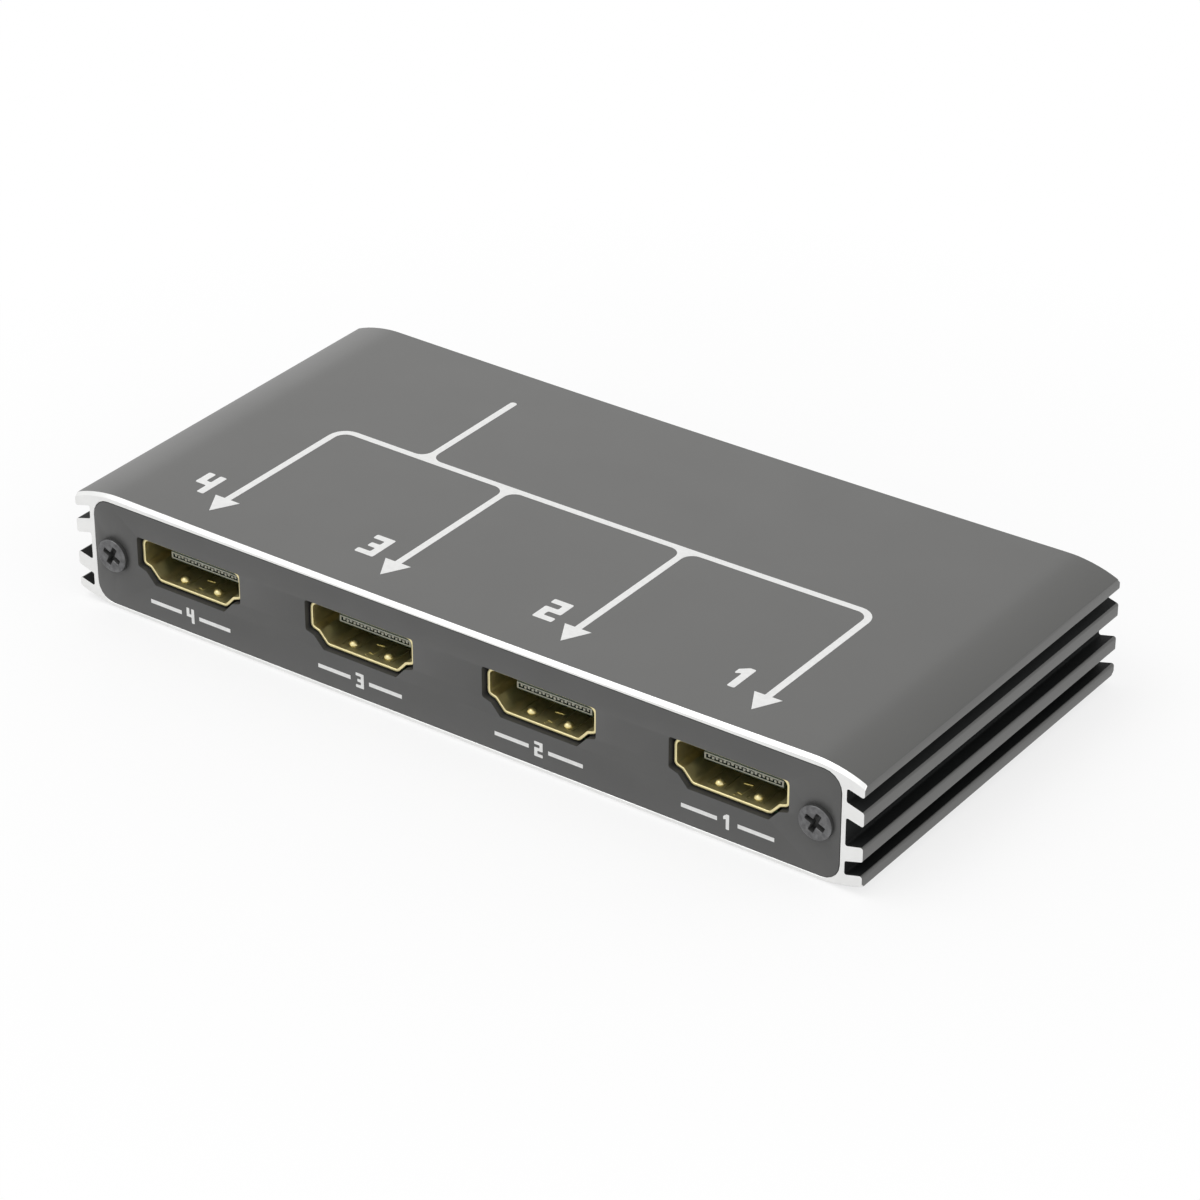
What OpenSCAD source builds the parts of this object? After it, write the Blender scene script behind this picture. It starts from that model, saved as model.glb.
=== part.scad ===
// Video splitter: one input socket and four output sockets in a finned metal housing.
// X runs across the width, Y from front to back and Z up.
// The origin is in the middle of the underside, and the output sockets face -Y.

/* [Housing] */
// Width over the fin tips
body_w = 109; // [108:0.5:140]
// Depth between the two milled ends
body_d = 53.4; // [52:0.2:90]
// Height at the shoulders
body_h = 15.2; // [14.8:0.1:20]
// Dip of the top in the middle of its width
top_dip = 0.3; // [0.1:0.05:0.4]
// Width of each sloping shoulder
slope_w = 3.4; // [3:0.1:5]
// Radius of the bend at each shoulder, where the slope has room for it
shoulder_r = 14; // [4:0.5:16]
// Chamfer on the long edges of the milled ends
end_chamfer = 0.4; // [0.2:0.05:0.5]

/* [Cooling fins] */
// Length of the fins
fin_l = 2.2; // [1.5:0.1:3]
// Height of the outer fin tips above and below the middle plane
tip_rise = 6.35; // [5.8:0.05:6.6]
// Gap at the root between the two middle fins
centre_gap = 3.55; // [3:0.05:4]
// Gap at the root between a middle fin and an outer fin
outer_gap = 1.7; // [1.4:0.05:2]
// Thickness of a middle fin at its root
fin_root = 1.9; // [1.5:0.05:2]
// Thickness of a middle fin at its tip
fin_tip = 1.8; // [1:0.05:1.9]
// Lean of the middle fins towards the middle plane
fin_lean = 0.6; // [0:0.05:0.8]
// Lean of the inner faces of the outer fins
outer_lean = 0.6; // [0:0.05:0.7]

/* [End panels] */
// Thickness of the front and rear panels
panel_t = 1.5; // [1:0.1:2.5]
// Rim of the housing above a panel
lip_top = 0.95; // [0.8:0.05:1.2]
// Rim of the housing below a panel
lip_bottom = 0.75; // [0.6:0.05:1]
// Rim of the housing beside a panel
lip_side = 0.6; // [0.5:0.05:0.8]
// Ledge of the housing that a panel rests against
ledge = 0.9; // [0.6:0.05:1.1]
// Corner radius of the panels
panel_r = 2.3; // [1:0.1:3]
// Gap round a panel in its pocket
panel_fit = 0.05; // [0.03:0.01:0.15]

/* [Panel screws] */
// Distance of a screw from the side of its pocket
screw_inset = 2.9; // [2.7:0.1:3.2]
// Shank diameter
screw_d = 2.3; // [2:0.1:2.5]
// Shank length below the panel
screw_l = 7; // [4:0.5:12]
// Head diameter
head_d = 4.2; // [3.6:0.1:4.6]
// Head height
head_h = 0.6; // [0.5:0.05:1]
// Width of the cross recess arms
recess_w = 0.55; // [0.4:0.05:0.7]

/* [Board] */
// Thickness of the main board
board_t = 1.6; // [1:0.1:2]
// Gap between the board and each panel
board_gap = 0.2; // [0.1:0.05:0.5]
// Width of the side rails of the housing
rail_w = 6.1; // [5.5:0.1:6.3]
// Depth of the board grooves in the rails
groove_d = 1.2; // [0.8:0.1:1.4]
// Gap round the board in its grooves
board_fit = 0.1; // [0.05:0.01:0.2]

/* [Sockets] */
// Distance from the middle of the outer output sockets to the side rails
port_margin = 8.1; // [8:0.1:14]
// Height of the sockets' middle above the middle plane
socket_rise = 0.75; // [0.5:0.05:1.2]
// Width of a socket's opening
socket_w = 14.1; // [13.8:0.05:14.4]
// Height of a socket's opening
socket_h = 4.55; // [4.4:0.05:4.7]
// Height of the upright part of the opening's sides
socket_side = 2.9; // [2.6:0.05:3]
// Width of the opening's floor
socket_floor = 9.8; // [9:0.1:10.4]
// Wall of the socket shells
shell_t = 0.38; // [0.3:0.02:0.45]
// Length of the socket shells
shell_l = 12; // [11:0.1:13]
// Depth of a shell's rim behind the panel face
shell_set = 0.6; // [0.2:0.05:0.9]
// Gap beside and under a shell in its cut-out in the panel
shell_fit = 0.25; // [0.15:0.05:0.4]
// Gap over a shell in its cut-out
shell_over = 0.1; // [0.05:0.01:0.2]
// Distance of a tongue's end behind the shell's rim
tongue_set = 2.4; // [2:0.1:3.5]
// Width of a tongue
tongue_w = 10.3; // [10:0.1:10.8]
// Thickness of a tongue
tongue_t = 1.3; // [1.2:0.05:1.7]
// Length of the insulator behind the tongue
insulator_l = 3; // [2:0.1:4]
// Pitch of the contacts in one row
contact_pitch = 1; // [0.95:0.01:1.04]
// Width of a contact
contact_w = 0.3; // [0.2:0.02:0.36]
// Thickness of a contact
contact_t = 0.15; // [0.1:0.01:0.2]

/* [Rear fittings] */
// Distance from the middle of the input socket to its side rail
input_margin = 20.6; // [10:0.1:30]
// Distance from the middle of the power jack to its side rail
jack_margin = 8.6; // [6:0.1:12]
// Distance between the power light and the power jack
light_gap = 15; // [10:0.5:20]
// Distance between the setting switch and the power light
switch_gap = 18; // [14:0.5:22]
// Height of the setting switch
switch_h = 6.2; // [5.6:0.1:6.8]
// Travel of a lever
lever_travel = 1.6; // [1:0.1:1.8]
// Width and height of a lever's knob
lever_w = 1.3; // [1:0.05:1.4]
// Diameter of the power light
light_d = 3; // [2:0.1:4]
// Bore of the power jack
jack_bore = 3.9; // [3.6:0.1:4.2]
// Diameter of the power jack's pin
jack_pin_d = 1.3; // [1:0.05:1.6]

/* [Board parts] */
// Side of the splitter chip
chip_w = 14; // [10:0.5:16]
// Height of the splitter chip
chip_h = 1.2; // [0.8:0.1:1.6]
// Side of the heat sink
sink_w = 18; // [14:0.5:20]
// Height of the heat sink
sink_h = 5; // [3:0.1:5.4]
// Side of a line driver chip
driver_w = 7; // [4:0.5:8]
// Diameter of an electrolytic capacitor
can_d = 5; // [4:0.1:6]
// Height of an electrolytic capacitor
can_h = 5.4; // [4:0.1:6.6]
// Side of a power inductor
coil_w = 6.6; // [5:0.1:7]

/* [Hidden] */
$fn = 48;
// Overlap of joined shapes and overshoot of cuts
eps = 0.1;

// Housing
front_y = -body_d / 2;
rear_y = body_d / 2;
tip_x = body_w / 2;
root_x = tip_x - fin_l;
slope_x = tip_x - slope_w;
pocket_w = 2 * (root_x - lip_side);
pocket_h = body_h - lip_top - lip_bottom;
mid_z = lip_bottom + pocket_h / 2;
floor_z = lip_bottom + ledge;
ceiling_z = body_h - lip_top - ledge;
cavity_x = pocket_w / 2 - ledge;
// Flat strip between the dip of the top and each slope
dip_margin = 3.7;
dip_x = slope_x - dip_margin;
dip_steps = 16;
// Turn of the outline at a shoulder, and the bend there within its share of the slope
shoulder_turn = atan((body_h - mid_z - tip_rise) / slope_w);
bend_share = 0.8;
bend_r = min(shoulder_r, bend_share * slope_w / tan(shoulder_turn / 2));
// Roundings at the tips and roots of the fins
tip_r = 0.4;
root_r = 0.25;
// Distances from the middle plane at the fins' roots and tips
root_1 = centre_gap / 2;
root_2 = root_1 + fin_root;
root_3 = root_2 + outer_gap;
tip_1 = root_1 + (fin_root - fin_tip) / 2 - fin_lean;
tip_2 = tip_1 + fin_tip;
tip_3 = root_3 - outer_lean;

// Rails, screws and board
rail_x = pocket_w / 2 - rail_w;
rail_over = 1.4;
rail_under = 1;
screw_x = pocket_w / 2 - screw_inset;
screw_fit = 0.03;
screw_play = 0.3;
recess_l = 2.2;
recess_depth = 0.9;
socket_z = mid_z + socket_rise;
board_top = socket_z - socket_h / 2 - shell_t;
board_z = board_top - board_t;
board_x = rail_x + groove_d - board_fit;
board_d = body_d - 2 * (panel_t + board_gap);
// Length of legs and pins below the board
tail_l = 1;
// Play of legs and pins in the board's holes
tail_play = 0.3;
sheet_t = 0.25;
sheet_margin = 2;

// Sockets
port_n = 4;
port_pitch = 2 * (rail_x - port_margin) / (port_n - 1);
port_xs = [for (i = [1:port_n]) port_pitch * ((port_n + 1) / 2 - i)];
shell_y = front_y + shell_set;
shell_back = shell_y + shell_l;
input_x = input_margin - rail_x;
step_w = 0.8;
step_h = 0.28;
// Corner radius of the cut-outs in the panels
cutout_r = 0.3;
insulator_fit = 0.03;
tongue_drop = 0.1;
tongue_z = socket_z - tongue_drop;
upper_n = 10;
lower_n = 9;
contact_play = 0.05;
contact_foot = 0.9;
contact_bend = 0.25;
finger_x = 2.5;
finger_w = 2;
finger_l = 5;
finger_start = 0.9;
slit_w = 0.25;
dimple_y = 1.7;
dimple_r = 0.62;
dimple_h = 0.45;
leg_w = 1.2;
leg_ys = [3, 9];

// Places of the power jack, the power light and the setting switch
jack_x = rail_x - jack_margin;
light_x = jack_x - light_gap;
switch_x = light_x - switch_gap;

// Setting switch
lever_n = 4;
lever_pitch = 2.54;
switch_side = 0.8;
switch_w = lever_n * lever_pitch + 2 * switch_side;
switch_set = 0.5;
switch_y = rear_y - switch_set;
cover_d = 2.2;
base_d = 5;
window_fit = 0.25;
knob_out = 0.8;
knob_play = 0.15;
flange_t = 0.8;
flange_room = 1.2;
flange_over = 0.4;
switch_mid = board_top + switch_h / 2;
lever_xs = [for (i = [0:lever_n - 1]) switch_x + lever_pitch * ((lever_n - 1) / 2 - i)];
pin_w = 0.5;
pin_rows = [1.2, 3.8];

// Power light
light_z = mid_z + socket_rise;
light_out = 0.3;
light_l = 5.3;
light_flange = 0.8;
light_flange_l = 1;
light_fit = 0.15;
lead_gap = 2.54;
lead_l = 1.5;
light_back = rear_y + light_out - light_l;
lead_y = light_back - lead_l;

// Power jack
jack_wall = 1.25;
jack_side = 0.5;
jack_w = jack_bore + 2 * (jack_wall + jack_side);
jack_h = jack_bore + 2 * jack_wall;
jack_z = board_top + jack_h / 2;
jack_l = 9;
jack_set = 0.1;
jack_nose_d = jack_bore + 2 * jack_wall;
jack_fit = 0.25;
jack_body_y = rear_y - panel_t - board_gap;
jack_back = jack_body_y - jack_l;
jack_depth = 8;
jack_floor_y = rear_y - jack_set - jack_depth;
jack_pin_set = 0.8;
jack_root_step = 0.5;
jack_root_d = jack_pin_d - jack_root_step;
jack_root_play = 0.02;
jack_tail_w = 1.6;
jack_tail_t = 0.4;
leaf_w = 1.4;
leaf_t = 0.3;
leaf_l = 4.5;
leaf_in = 0.15;
leaf_set = 2;
leaf_play = 0.05;

// Chips and other parts on the board
tape_t = 0.3;
tape_margin = 0.5;
tape_w = sink_w - 2 * tape_margin;
sink_base = 1.2;
sink_fins = 7;
sink_fin_t = 0.8;
driver_h = 0.9;
// Gap between neighbouring rows of parts
row_gap = 0.9;
driver_y = shell_back + contact_bend + contact_foot + row_gap + driver_w / 2;
ceramic_size = [1, 0.6, 0.5];
ceramic_pitch = 1.8;
ceramic_n = 5;
ceramic_y = driver_y + driver_w / 2 + row_gap;
// Front edge of the rows behind the ceramic capacitors
rows_y = ceramic_y + ceramic_size[1] / 2 + row_gap;
// The splitter chip stands behind the ceramic capacitors
chip_y = rows_y + chip_w / 2;
can_n = 3;
can_pitch = 7;
can_inset = 5.6;
can_xs = [for (i = [0:can_n - 1]) rail_x - can_inset - i * can_pitch];
can_base_h = 0.6;
can_margin = 0.3;
can_base_w = can_d + can_margin;
can_y = rows_y + can_base_w / 2;
coil_n = 2;
coil_pitch = 8;
coil_inset = 11.6;
coil_xs = [for (i = [0:coil_n - 1]) rail_x - coil_inset - i * coil_pitch];
coil_h = 3;
coil_y = can_y + (can_base_w + coil_w) / 2 + row_gap;
regulator_size = [4.5, 2.6, 1.5];
regulator_gap = 1.45;
regulator_x = coil_xs[coil_n - 1] - (coil_w + regulator_size[0]) / 2 - regulator_gap;
regulator_ys = [for (side = [-1, 1]) coil_y + side * (regulator_size[1] + row_gap) / 2];
crystal_l = 10.5;
crystal_w = 4.6;
crystal_h = 3.4;
crystal_r = 2.2;
crystal_gap = 2.75;
crystal_x = -(sink_w + crystal_l) / 2 - crystal_gap;
crystal_y = rows_y + crystal_w / 2;
memory_size = [5, 4, 1.6];
memory_y = crystal_y + (crystal_w + memory_size[1]) / 2 + row_gap;

PARTS = ["shell", "insulator", "contacts"];

// Outline helpers: points are [x, z, corner radius], counter-clockwise

function xy(p) = [p[0], p[1]];
function unit(v) = v / norm(v);
function outward(v) = unit([v[1], -v[0]]);
function after(i, n) = (i + 1) % n;
function before(i, n) = (i + n - 1) % n;
function mirrored(p) = [for (i = [len(p) - 1:-1:0]) [-p[i][0], p[i][1], p[i][2]]];

// Points of the arc that rounds the corner b between a and c
function corner(a, b, c, r, steps) =
    let (
        u = unit(a - b),
        v = unit(c - b),
        half = acos(u * v) / 2,
        room = 0.45 * min(norm(a - b), norm(c - b)),
        cut = min(r / tan(half), room),
        arc_r = cut * tan(half),
        centre = b + unit(u + v) * arc_r / sin(half),
        from = b + u * cut - centre,
        to = b + v * cut - centre,
        start = atan2(from[1], from[0]),
        turn = atan2(from[0] * to[1] - from[1] * to[0], from * to)
    )
    [for (k = [0:steps]) centre + arc_r * [cos(start + turn * k / steps), sin(start + turn * k / steps)]];

function rounded(p, steps) =
    let (n = len(p))
    [for (i = [0:n - 1])
        each p[i][2] > 0
            ? corner(xy(p[before(i, n)]), xy(p[i]), xy(p[after(i, n)]), p[i][2], steps)
            : [xy(p[i])]];

// The same outline with every side moved outwards by g and its corners kept concentric
function grown(p, g) =
    let (n = len(p))
    [for (i = [0:n - 1])
        let (
            a = outward(xy(p[i]) - xy(p[before(i, n)])),
            b = outward(xy(p[after(i, n)]) - xy(p[i])),
            q = xy(p[i]) + g * (a + b) / (1 + a * b),
            convex = a[0] * b[1] - a[1] * b[0] > 0
        )
        [q[0], q[1], max(p[i][2] + (convex ? g : -g), 0.05)]];

// Shape helpers

// An X-Z outline as a slab from y to y + depth
module slab(y, depth) {
    translate([0, y + depth, 0])
        rotate([90, 0, 0])
            linear_extrude(depth)
                children();
}

// A rod along Y from y to y + length
module rod(x, y, z, d, length) {
    translate([x, y + length, z])
        rotate([90, 0, 0])
            cylinder(d = d, h = length);
}

// A box centred on x and y and standing on z
module block(x, y, z, size) {
    translate([x - size[0] / 2, y - size[1] / 2, z])
        cube(size);
}

module round_rect(w, h, r) {
    square([w - 2 * r, h], center = true);
    square([w, h - 2 * r], center = true);
    for (x = [-1, 1])
        for (z = [-1, 1])
            translate([x * (w / 2 - r), z * (h / 2 - r)])
                circle(r);
}

// Housing

function fin_side() =
    let (
        upper = [
            [root_x, root_1, root_r],
            [tip_x, tip_1, tip_r],
            [tip_x, tip_2, tip_r],
            [root_x, root_2, root_r],
            [root_x, root_3, root_r],
            [tip_x, tip_3, tip_r],
            [tip_x, tip_rise, tip_r]
        ]
    )
    concat(
        [[slope_x, 0, bend_r]],
        [for (i = [len(upper) - 1:-1:0]) [upper[i][0], mid_z - upper[i][1], upper[i][2]]],
        [for (p = upper) [p[0], mid_z + p[1], p[2]]],
        [[slope_x, body_h, bend_r]]
    );

// Points along the dipped top, from right to left
function dip_curve(dip, steps) =
    [for (i = [0:steps])
        let (t = 1 - 2 * i / steps)
        [dip_x * t, -dip * (1 - t * t)]];

module housing_outline() {
    top = [for (p = dip_curve(top_dip, dip_steps)) [p[0], body_h + p[1], 0]];
    polygon(rounded(concat(fin_side(), top, mirrored(fin_side())), 4));
}

module rail_outline() {
    difference() {
        translate([rail_x, board_z - rail_under])
            square([cavity_x - rail_x + eps, mid_z + screw_d / 2 + rail_over - board_z + rail_under]);
        translate([rail_x - eps, board_z])
            square([groove_d + eps, board_t + board_fit]);
    }
}

module cavity_outline() {
    difference() {
        translate([-cavity_x, floor_z])
            square([2 * cavity_x, ceiling_z - floor_z]);
        for (side = [0, 1])
            mirror([side, 0])
                rail_outline();
    }
}

// Cutter for the end chamfer along a crest of height 0 whose slopes drop by drop at the fin tips
module end_cutter(drop, dip, steps) {
    past = 1;
    high = 2;
    reach = 4 * body_h;
    end = [tip_x + past, -drop * (slope_w + past) / slope_w, 0];
    right = concat(
        [end],
        [for (p = corner(xy(end), [slope_x, 0], [dip_x, 0], bend_r, 4)) [p[0], p[1], 0]]
    );
    middle = [for (p = dip_curve(dip, steps)) [p[0], p[1], 0]];
    crest = concat(right, middle, mirrored(right), [[-tip_x - past, high], [tip_x + past, high]]);
    // Drawn square to a 45 degree run, so its heights shrink by the square root of two
    translate([0, 0, -end_chamfer])
        rotate([135, 0, 0])
            linear_extrude(reach, center = true)
                polygon([for (p = crest) [p[0], p[1] / sqrt(2)]]);
}

module end_bevels() {
    translate([0, front_y, body_h])
        end_cutter(body_h - mid_z - tip_rise, top_dip, dip_steps);
    translate([0, front_y, 0])
        mirror([0, 0, 1])
            end_cutter(mid_z - tip_rise, 0, 1);
}

module housing() {
    color("#26272a")
        difference() {
            slab(front_y, body_d)
                difference() {
                    housing_outline();
                    cavity_outline();
                    for (x = [-screw_x, screw_x])
                        translate([x, mid_z])
                            circle(d = screw_d + 2 * screw_fit);
                }
            for (end = [0, 1])
                mirror([0, end, 0]) {
                    slab(front_y - eps, panel_t + eps)
                        translate([0, mid_z])
                            round_rect(pocket_w, pocket_h, panel_r);
                    end_bevels();
                }
        }
}

// End panels

module panel_outline() {
    difference() {
        translate([0, mid_z])
            round_rect(pocket_w - 2 * panel_fit, pocket_h - 2 * panel_fit, panel_r - panel_fit);
        for (x = [-screw_x, screw_x])
            translate([x, mid_z])
                circle(d = screw_d + screw_play);
    }
}

module socket_cutout(x) {
    top = socket_h / 2 + shell_t + shell_over;
    sides = grown(socket_outline(), shell_t + shell_fit);
    translate([x, socket_z])
        polygon(rounded([for (p = sides) [p[0], min(p[1], top), cutout_r]], 5));
}

module front_panel() {
    color("#303133")
        slab(front_y, panel_t)
            difference() {
                panel_outline();
                for (x = port_xs)
                    socket_cutout(x);
            }
}

module rear_panel() {
    color("#303133")
        slab(rear_y - panel_t, panel_t)
            difference() {
                panel_outline();
                socket_cutout(input_x);
                translate([switch_x, switch_mid])
                    square([switch_w + 2 * window_fit, switch_h + 2 * window_fit], center = true);
                translate([light_x, light_z])
                    circle(d = light_d + 2 * light_fit);
                translate([jack_x, jack_z])
                    circle(d = jack_nose_d + 2 * jack_fit);
            }
}

// One front screw, on its axis at x = 0
module screw() {
    shoulder_h = head_h / 2;
    difference() {
        union() {
            rod(0, front_y - shoulder_h, mid_z, head_d, shoulder_h);
            translate([0, front_y - shoulder_h, mid_z])
                rotate([90, 0, 0])
                    cylinder(d1 = head_d, d2 = head_d - 2 * shoulder_h, h = head_h - shoulder_h);
            rod(0, front_y - eps, mid_z, screw_d, panel_t + screw_l + eps);
        }
        for (turn = [0, 90])
            translate([0, front_y - head_h, mid_z])
                rotate([0, turn + 45, 0])
                    cube([recess_l, 2 * recess_depth, recess_w], center = true);
    }
}

module panel_screws() {
    color("#1d1d1f")
        for (end = [0, 1])
            mirror([0, end, 0])
                for (x = [-screw_x, screw_x])
                    translate([x, 0, 0])
                        screw();
}

// Sockets, modelled at the front with their middle at x = 0

function socket_outline() =
    let (
        half = socket_w / 2,
        top = socket_h / 2,
        side = top - socket_side,
        right = [
            [socket_floor / 2, -top, 0.6],
            [half - step_w, side - step_h, 0.6],
            [half, side, 0.4],
            [half, top, 0.6]
        ]
    )
    concat(right, mirrored(right));

module shell_fingers() {
    for (wall = [-1, 1])
        for (x = [-finger_x, finger_x])
            translate([x, shell_y + finger_start, socket_z + wall * (socket_h + shell_t) / 2]) {
                for (side = [-1, 1])
                    translate([side * (finger_w + slit_w) / 2, finger_l / 2, 0])
                        cube([slit_w, finger_l, shell_t + 2 * eps], center = true);
                translate([0, slit_w / 2, 0])
                    cube([finger_w + 2 * slit_w, slit_w, shell_t + 2 * eps], center = true);
            }
}

// Contact bumps on the spring fingers, inside the shell
module shell_dimples() {
    for (wall = [0, 1])
        translate([0, 0, socket_z])
            mirror([0, 0, wall])
                for (x = [-finger_x, finger_x])
                    intersection() {
                        translate([x, shell_y + dimple_y, -socket_h / 2 + dimple_h - dimple_r])
                            sphere(dimple_r);
                        block(x, shell_y + dimple_y, -socket_h / 2 - shell_t / 2, [finger_w, finger_w, 1]);
                    }
}

module shell_legs() {
    leg_z = board_z - tail_l;
    for (side = [0, 1])
        mirror([side, 0, 0])
            for (y = leg_ys)
                translate([socket_w / 2, shell_y + y, leg_z])
                    cube([shell_t, leg_w, socket_z - leg_z]);
}

module socket_shell() {
    color("#c8a252") {
        difference() {
            slab(shell_y, shell_l)
                translate([0, socket_z])
                    difference() {
                        polygon(rounded(grown(socket_outline(), shell_t), 5));
                        polygon(rounded(socket_outline(), 5));
                    }
            shell_fingers();
        }
        shell_dimples();
        shell_legs();
    }
}

function contact_row(n, z) = [for (i = [0:n - 1]) [(i - (n - 1) / 2) * contact_pitch, z]];
function contact_rows() = [
    contact_row(upper_n, tongue_z + tongue_t / 2 - contact_t),
    contact_row(lower_n, tongue_z - tongue_t / 2)
];

module socket_insulator() {
    tongue_y = shell_y + tongue_set;
    base_y = shell_back - insulator_l;
    channel = [contact_w + 2 * contact_play, shell_back - tongue_y + 2 * eps, contact_t + eps];
    color("#1b1c1e")
        difference() {
            union() {
                slab(base_y, insulator_l)
                    translate([0, socket_z])
                        polygon(rounded(grown(socket_outline(), -insulator_fit), 5));
                slab(tongue_y, base_y - tongue_y + eps)
                    translate([0, tongue_z])
                        square([tongue_w, tongue_t], center = true);
            }
            for (row = [0, 1])
                for (c = contact_rows()[row])
                    translate([c[0] - contact_w / 2 - contact_play, tongue_y - eps, c[1] - row * eps])
                        cube(channel);
        }
}

module socket_contacts() {
    nose = 0.2;
    tip_y = shell_y + tongue_set + nose;
    leg_y = shell_back + contact_bend - contact_t;
    color("#d8bd6a")
        for (row = contact_rows())
            for (c = row)
                translate([c[0] - contact_w / 2, 0, 0]) {
                    translate([0, tip_y, c[1]])
                        cube([contact_w, leg_y + contact_t - tip_y, contact_t]);
                    translate([0, leg_y, board_top])
                        cube([contact_w, contact_t, c[1] + contact_t - board_top]);
                    translate([0, leg_y, board_top])
                        cube([contact_w, contact_foot, contact_t]);
                }
}

module socket_part(part) {
    if (part == "shell") socket_shell();
    if (part == "insulator") socket_insulator();
    if (part == "contacts") socket_contacts();
}

module output_part(i, part) {
    translate([port_xs[i - 1], 0, 0])
        socket_part(part);
}

module input_part(part) {
    translate([input_x, 0, 0])
        mirror([0, 1, 0])
            socket_part(part);
}

// Main board

module leg_slots() {
    for (side = [0, 1])
        mirror([side, 0])
            for (y = leg_ys)
                translate([socket_w / 2 + shell_t / 2, shell_y + y + leg_w / 2])
                    square([shell_t + 2 * tail_play, leg_w + 2 * tail_play], center = true);
}

module pin_hole(x, y, w) {
    translate([x, y])
        circle(d = w * sqrt(2) + tail_play);
}

module main_board() {
    color("#1f4a2d")
        translate([0, 0, board_z])
            linear_extrude(board_t)
                difference() {
                    square([2 * board_x, board_d], center = true);
                    for (x = port_xs)
                        translate([x, 0])
                            leg_slots();
                    translate([input_x, 0])
                        mirror([0, 1])
                            leg_slots();
                    for (x = lever_xs)
                        for (row = pin_rows)
                            pin_hole(x, switch_y - cover_d - row, pin_w);
                    for (side = [-1, 1])
                        pin_hole(light_x + side * lead_gap / 2, lead_y + pin_w / 2, pin_w);
                    translate([jack_x, jack_back - jack_tail_t / 2])
                        square([jack_tail_w + 2 * tail_play, jack_tail_t + 2 * tail_play], center = true);
                    translate([jack_x, leaf_y() + leaf_t / 2])
                        square([leaf_w + 2 * tail_play, leaf_t + 2 * tail_play], center = true);
                }
}

module insulating_sheet() {
    color("#3a3a36")
        block(0, 0, floor_z, [2 * (cavity_x - sheet_margin), board_d, sheet_t]);
}

// Power jack

function leaf_y() = rear_y - leaf_set - leaf_l;
function leaf_z() = jack_z - jack_bore / 2 + leaf_in - leaf_t;

module power_jack_body() {
    leg_room = leaf_t + 2 * leaf_play;
    color("#1c1c1d")
        difference() {
            union() {
                block(jack_x, jack_body_y - jack_l / 2, board_top, [jack_w, jack_l, jack_h]);
                rod(jack_x, jack_body_y - eps, jack_z, jack_nose_d, rear_y - jack_set - jack_body_y + eps);
            }
            rod(jack_x, jack_floor_y, jack_z, jack_bore, jack_depth + eps);
            rod(jack_x, jack_back - eps, jack_z, jack_root_d + 2 * jack_root_play, jack_l);
            translate([jack_x - leaf_w / 2 - leaf_play, leaf_y() - leaf_play, leaf_z() - leaf_play])
                cube([leaf_w + 2 * leaf_play, leaf_l + 2 * leaf_play, jack_bore / 2]);
            translate([jack_x - leaf_w / 2 - leaf_play, leaf_y() - leaf_play, board_top - eps])
                cube([leaf_w + 2 * leaf_play, leg_room, jack_h / 2]);
        }
}

module power_jack_pin() {
    tail_z = board_z - tail_l;
    tail_y = jack_back - jack_tail_t;
    color("#c9c9c6") {
        rod(jack_x, jack_floor_y, jack_z, jack_pin_d, rear_y - jack_pin_set - jack_floor_y);
        rod(jack_x, tail_y, jack_z, jack_root_d, jack_floor_y - tail_y + eps);
        translate([jack_x - jack_tail_w / 2, tail_y, tail_z])
            cube([jack_tail_w, jack_tail_t, jack_z - tail_z]);
    }
}

module power_jack_spring() {
    tail_z = board_z - tail_l;
    color("#c9c9c6") {
        translate([jack_x - leaf_w / 2, leaf_y(), leaf_z()])
            cube([leaf_w, leaf_l, leaf_t]);
        translate([jack_x - leaf_w / 2, leaf_y(), tail_z])
            cube([leaf_w, leaf_t, leaf_z() - tail_z + leaf_t]);
    }
}

// Setting switch

// Room for a lever's knob or flange over its whole travel
module lever_room(x, y, depth, w) {
    h = w + lever_travel + 2 * knob_play;
    translate([x - w / 2 - knob_play, y, switch_mid - h / 2])
        cube([w + 2 * knob_play, depth, h]);
}

module switch_cover() {
    flange_w = lever_w + 2 * flange_over;
    color("#a8242a")
        difference() {
            block(switch_x, switch_y - cover_d / 2, board_top, [switch_w, cover_d, switch_h]);
            for (x = lever_xs) {
                lever_room(x, switch_y - cover_d, cover_d + eps, lever_w);
                lever_room(x, switch_y - cover_d - eps, flange_room + eps, flange_w);
            }
        }
}

module switch_base() {
    color("#1c1c1d")
        block(switch_x, switch_y - cover_d - base_d / 2, board_top, [switch_w, base_d, switch_h]);
}

module switch_terminals() {
    color("#c9c9c6")
        for (x = lever_xs)
            for (row = pin_rows)
                block(x, switch_y - cover_d - row, board_z - tail_l, [pin_w, pin_w, board_t + tail_l]);
}

module switch_lever(i) {
    x = lever_xs[i - 1];
    z = switch_mid - lever_travel / 2;
    flange_w = lever_w + 2 * flange_over;
    flange_y = switch_y - cover_d + (flange_room - flange_t) / 2;
    color("#e9e7e0") {
        block(x, flange_y + flange_t / 2, z - flange_w / 2, [flange_w, flange_t, flange_w]);
        translate([x - lever_w / 2, flange_y, z - lever_w / 2])
            cube([lever_w, switch_y + knob_out - flange_y, lever_w]);
    }
}

// Power light

module power_light() {
    dome_y = rear_y + light_out - light_d / 2;
    color("#b9c4d6") {
        rod(light_x, light_back, light_z, light_d + light_flange, light_flange_l);
        rod(light_x, light_back, light_z, light_d, dome_y - light_back);
        translate([light_x, dome_y, light_z])
            sphere(d = light_d);
    }
}

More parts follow.
